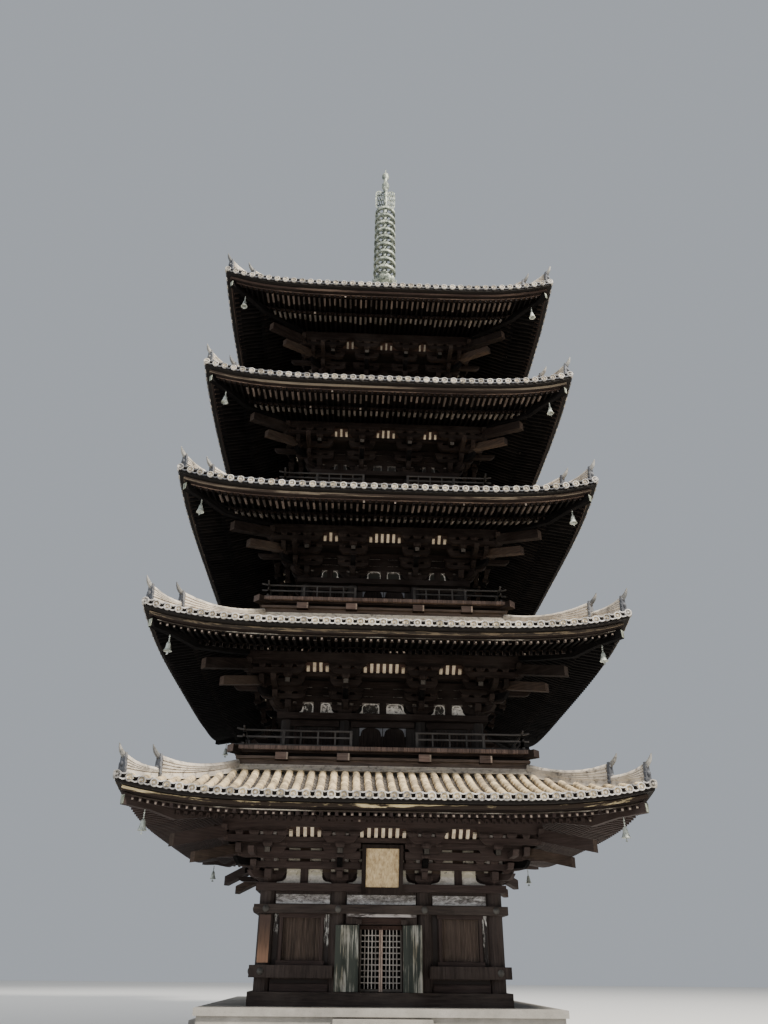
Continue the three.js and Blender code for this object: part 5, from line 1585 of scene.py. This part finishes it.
def spire_rings():
    """Nine hoops on spokes round a shaft, with hubs between them and small bells at their rims."""
    part = Part()
    lathe(part, [(0.1, 29.051), (0.1, 33.99)], (0, 0, 0), sides=12)
    for ring in range(RING_COUNT):
        share = ring / (RING_COUNT - 1)
        level, reach = (low + (high - low) * share for low, high in (RING_LEVELS, RING_REACH))
        hoop = [(reach - 0.13, -0.055), (reach - 0.015, -0.07), (reach, -0.05), (reach, 0.05),
                (reach - 0.012, 0.07), (reach - 0.13, 0.055), (reach - 0.13, -0.055)]
        lathe(part, hoop, (0, 0, level), sides=28)
        lathe(part, [(0.1, -0.16), (0.15, -0.13), (0.19, -0.04), (0.17, 0.05), (0.125, 0.12), (0.1, 0.15)],
              (0, 0, level), sides=14)
        for spoke in range(SPOKES):
            outward, across = ray(math.pi / 8 + 2 * math.pi * spoke / SPOKES)
            rings = []
            for out, rise, half in ((0.13, 0.0, 0.024), (0.25, 0.03, 0.016), (0.34, 0.035, 0.022),
                                    (reach - 0.06, 0.0, 0.02)):
                centre = outward * out + UP * (level + rise)
                section = both_sides([(half, -0.022), (half, 0.022)])
                rings.append([centre + across * a + UP * b for a, b in section])
            sweep(part, rings, 1)
            rim = outward * (reach - 0.04) + UP * (level - 0.06)
            lathe(part, [(0.034, -0.1), (0.03, -0.07), (0.022, -0.03), (0.008, -0.012), (0.008, 0.01)], rim,
                  sides=8, material=1)
    part.build("spire_hoops", [SPIRE_BRONZE, SPIRE_BRONZE_SHADED], replaces=["spire_rings"])


def spire_flames():
    """Pierced plates of curling flames crosswise round the shaft."""
    part = Part()
    lathe(part, [(0.1, 33.991), (0.1, 35.38)], (0, 0, 0), sides=12)
    strips = [FLAME_RIM]
    for start in (0.17, 0.27, 0.37):
        strips.append([(start + 0.03 * math.sin(n * 1.3 + 9 * start), 0.03 + n * 0.104) for n in range(13)])
    for level in (0.3, 0.65, 1.0):
        strips.append([(0.09, level), (0.2, level + 0.06), (0.32, level - 0.02), (0.455, level + 0.04)])
    start = part.mark()
    for strip in strips:
        rings = []
        for place, (out, rise) in enumerate(strip):
            before, after = strip[max(place - 1, 0)], strip[min(place + 1, len(strip) - 1)]
            along = unit([after[0] - before[0], after[1] - before[1]])
            section = both_sides([(0.026, -0.012), (0.026, 0.012)])
            rings.append([(out - a * along[1], b, FLAME_FOOT + rise + a * along[0]) for a, b in section])
        sweep(part, rings)
    part.around(start)
    part.build("spire_flame_plates", [SPIRE_BRONZE], replaces=["spire_flames"])


def spire_jewels():
    part = Part()
    lathe(part, [(0.1, 35.382), (0.11, 35.48), (0.09, 35.5), (0.13, 35.54), (0.175, 35.64), (0.185, 35.76),
                 (0.17, 35.88), (0.12, 35.98), (0.09, 36.02), (0.085, 36.28), (0.1, 36.32), (0.14, 36.36),
                 (0.178, 36.45), (0.18, 36.54), (0.15, 36.64), (0.09, 36.72), (0.035, 36.8), (0.022, 36.95),
                 (0.01, 37.12), (0, 37.178)], (0, 0, 0), sides=20)
    part.build("spire_balls", [SPIRE_BRONZE], replaces=["spire_jewels"])


for storey in STOREYS:
    roof_tiles(storey)
    roof_ridges(storey)
    eaves(storey)
    brackets(storey)
    if storey:
        balcony_floor(storey)
        railing(storey)
        upper_front(storey)
ground_storey()
lattice_leaf(-1)
lattice_leaf(1)
sign_board()
spire_base()
spire_rings()
spire_flames()
spire_jewels()


# Finishes of the solids that stay

KEPT = (
    (LOW_CAD, ("front_wall_left", "front_wall_right", "front_door_head", "front_door_sill", "right_wall",
               "back_wall", "left_wall")),
    (DARK_CAD, ("walls_2", "walls_3", "walls_4", "walls_5")),
    (BEAM_CAD, ("ground_beams", "tie_beams")),
    (PLANKS, ("front_plank_door_left", "front_plank_door_right", "right_doors", "back_doors", "left_doors")),
    (STONE, ("stone_platform",)),
    (TABLET, ("column_tablet",)),
)
for look, names in KEPT:
    for node_name in names:
        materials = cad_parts[node_name].data.materials
        materials.clear()
        materials.append(look)


# Studio: floor, light and camera

FLOOR_REACH = 90
floor_mesh = bpy.data.meshes.new("studio_floor")
floor_mesh.from_pydata([(a * FLOOR_REACH, b * FLOOR_REACH, 0) for a, b in CORNERS], [], [(0, 1, 2, 3)])
floor_piece = bpy.data.objects.new("studio_floor", floor_mesh)
bpy.context.scene.collection.objects.link(floor_piece)
floor_look = Nodes("studio_floor")
floor_look.fill(floor_look.shader, {"Base Color": (0.62, 0.62, 0.61, 1), "Roughness": 0.9})
floor_mesh.materials.append(floor_look.material)

world = bpy.data.worlds.new("studio")
world.use_nodes = True
background = world.node_tree.nodes["Background"]
background.inputs["Color"].default_value = (0.78, 0.84, 0.92, 1)
background.inputs["Strength"].default_value = 0.5
bpy.context.scene.world = world


def area_light(name, place, aim, size, power, colour):
    """aim is the level that the light looks at, on the tower's axis."""
    data = bpy.data.lights.new(name, "AREA")
    data.size = size
    data.energy = power
    data.color = colour
    lamp = bpy.data.objects.new(name, data)
    lamp.location = place
    lamp.rotation_euler = (Vector((0, 0, aim)) - Vector(place)).to_track_quat("-Z", "Y").to_euler()
    bpy.context.scene.collection.objects.link(lamp)


area_light("key", (34, -40, 60), 14, 7, 150000, (1.0, 0.94, 0.84))
area_light("fill", (-40, -40, 20), 14, 26, 9000, (0.86, 0.92, 1.0))
area_light("rim", (-20, 44, 40), 16, 20, 16000, (1.0, 0.97, 0.92))

FOCAL_PIXELS = 783.637
PHOTO_LONG_SIDE = 1024
SENSOR = 36
PITCH_UP, YAW, ROLL = 0.528224, 0.039041, 0.009869
CAMERA_AT = Vector((-0.92282, -25.89316, 1.6))

forward = Vector((math.sin(YAW) * math.cos(PITCH_UP), math.cos(YAW) * math.cos(PITCH_UP), math.sin(PITCH_UP)))
right = Vector((math.cos(YAW), -math.sin(YAW), 0))
upright = right.cross(forward)
image_right = math.cos(ROLL) * right + math.sin(ROLL) * upright
image_up = -math.sin(ROLL) * right + math.cos(ROLL) * upright
camera_data = bpy.data.cameras.new("camera")
camera_data.sensor_width = SENSOR
camera_data.lens = SENSOR * FOCAL_PIXELS / PHOTO_LONG_SIDE
camera_data.clip_end = 400
camera = bpy.data.objects.new("camera", camera_data)
axes = Matrix((image_right, image_up, -forward)).transposed()
camera.matrix_world = Matrix.Translation(CAMERA_AT) @ axes.to_4x4()
bpy.context.scene.collection.objects.link(camera)
bpy.context.scene.camera = camera

bpy.context.view_layer.update()
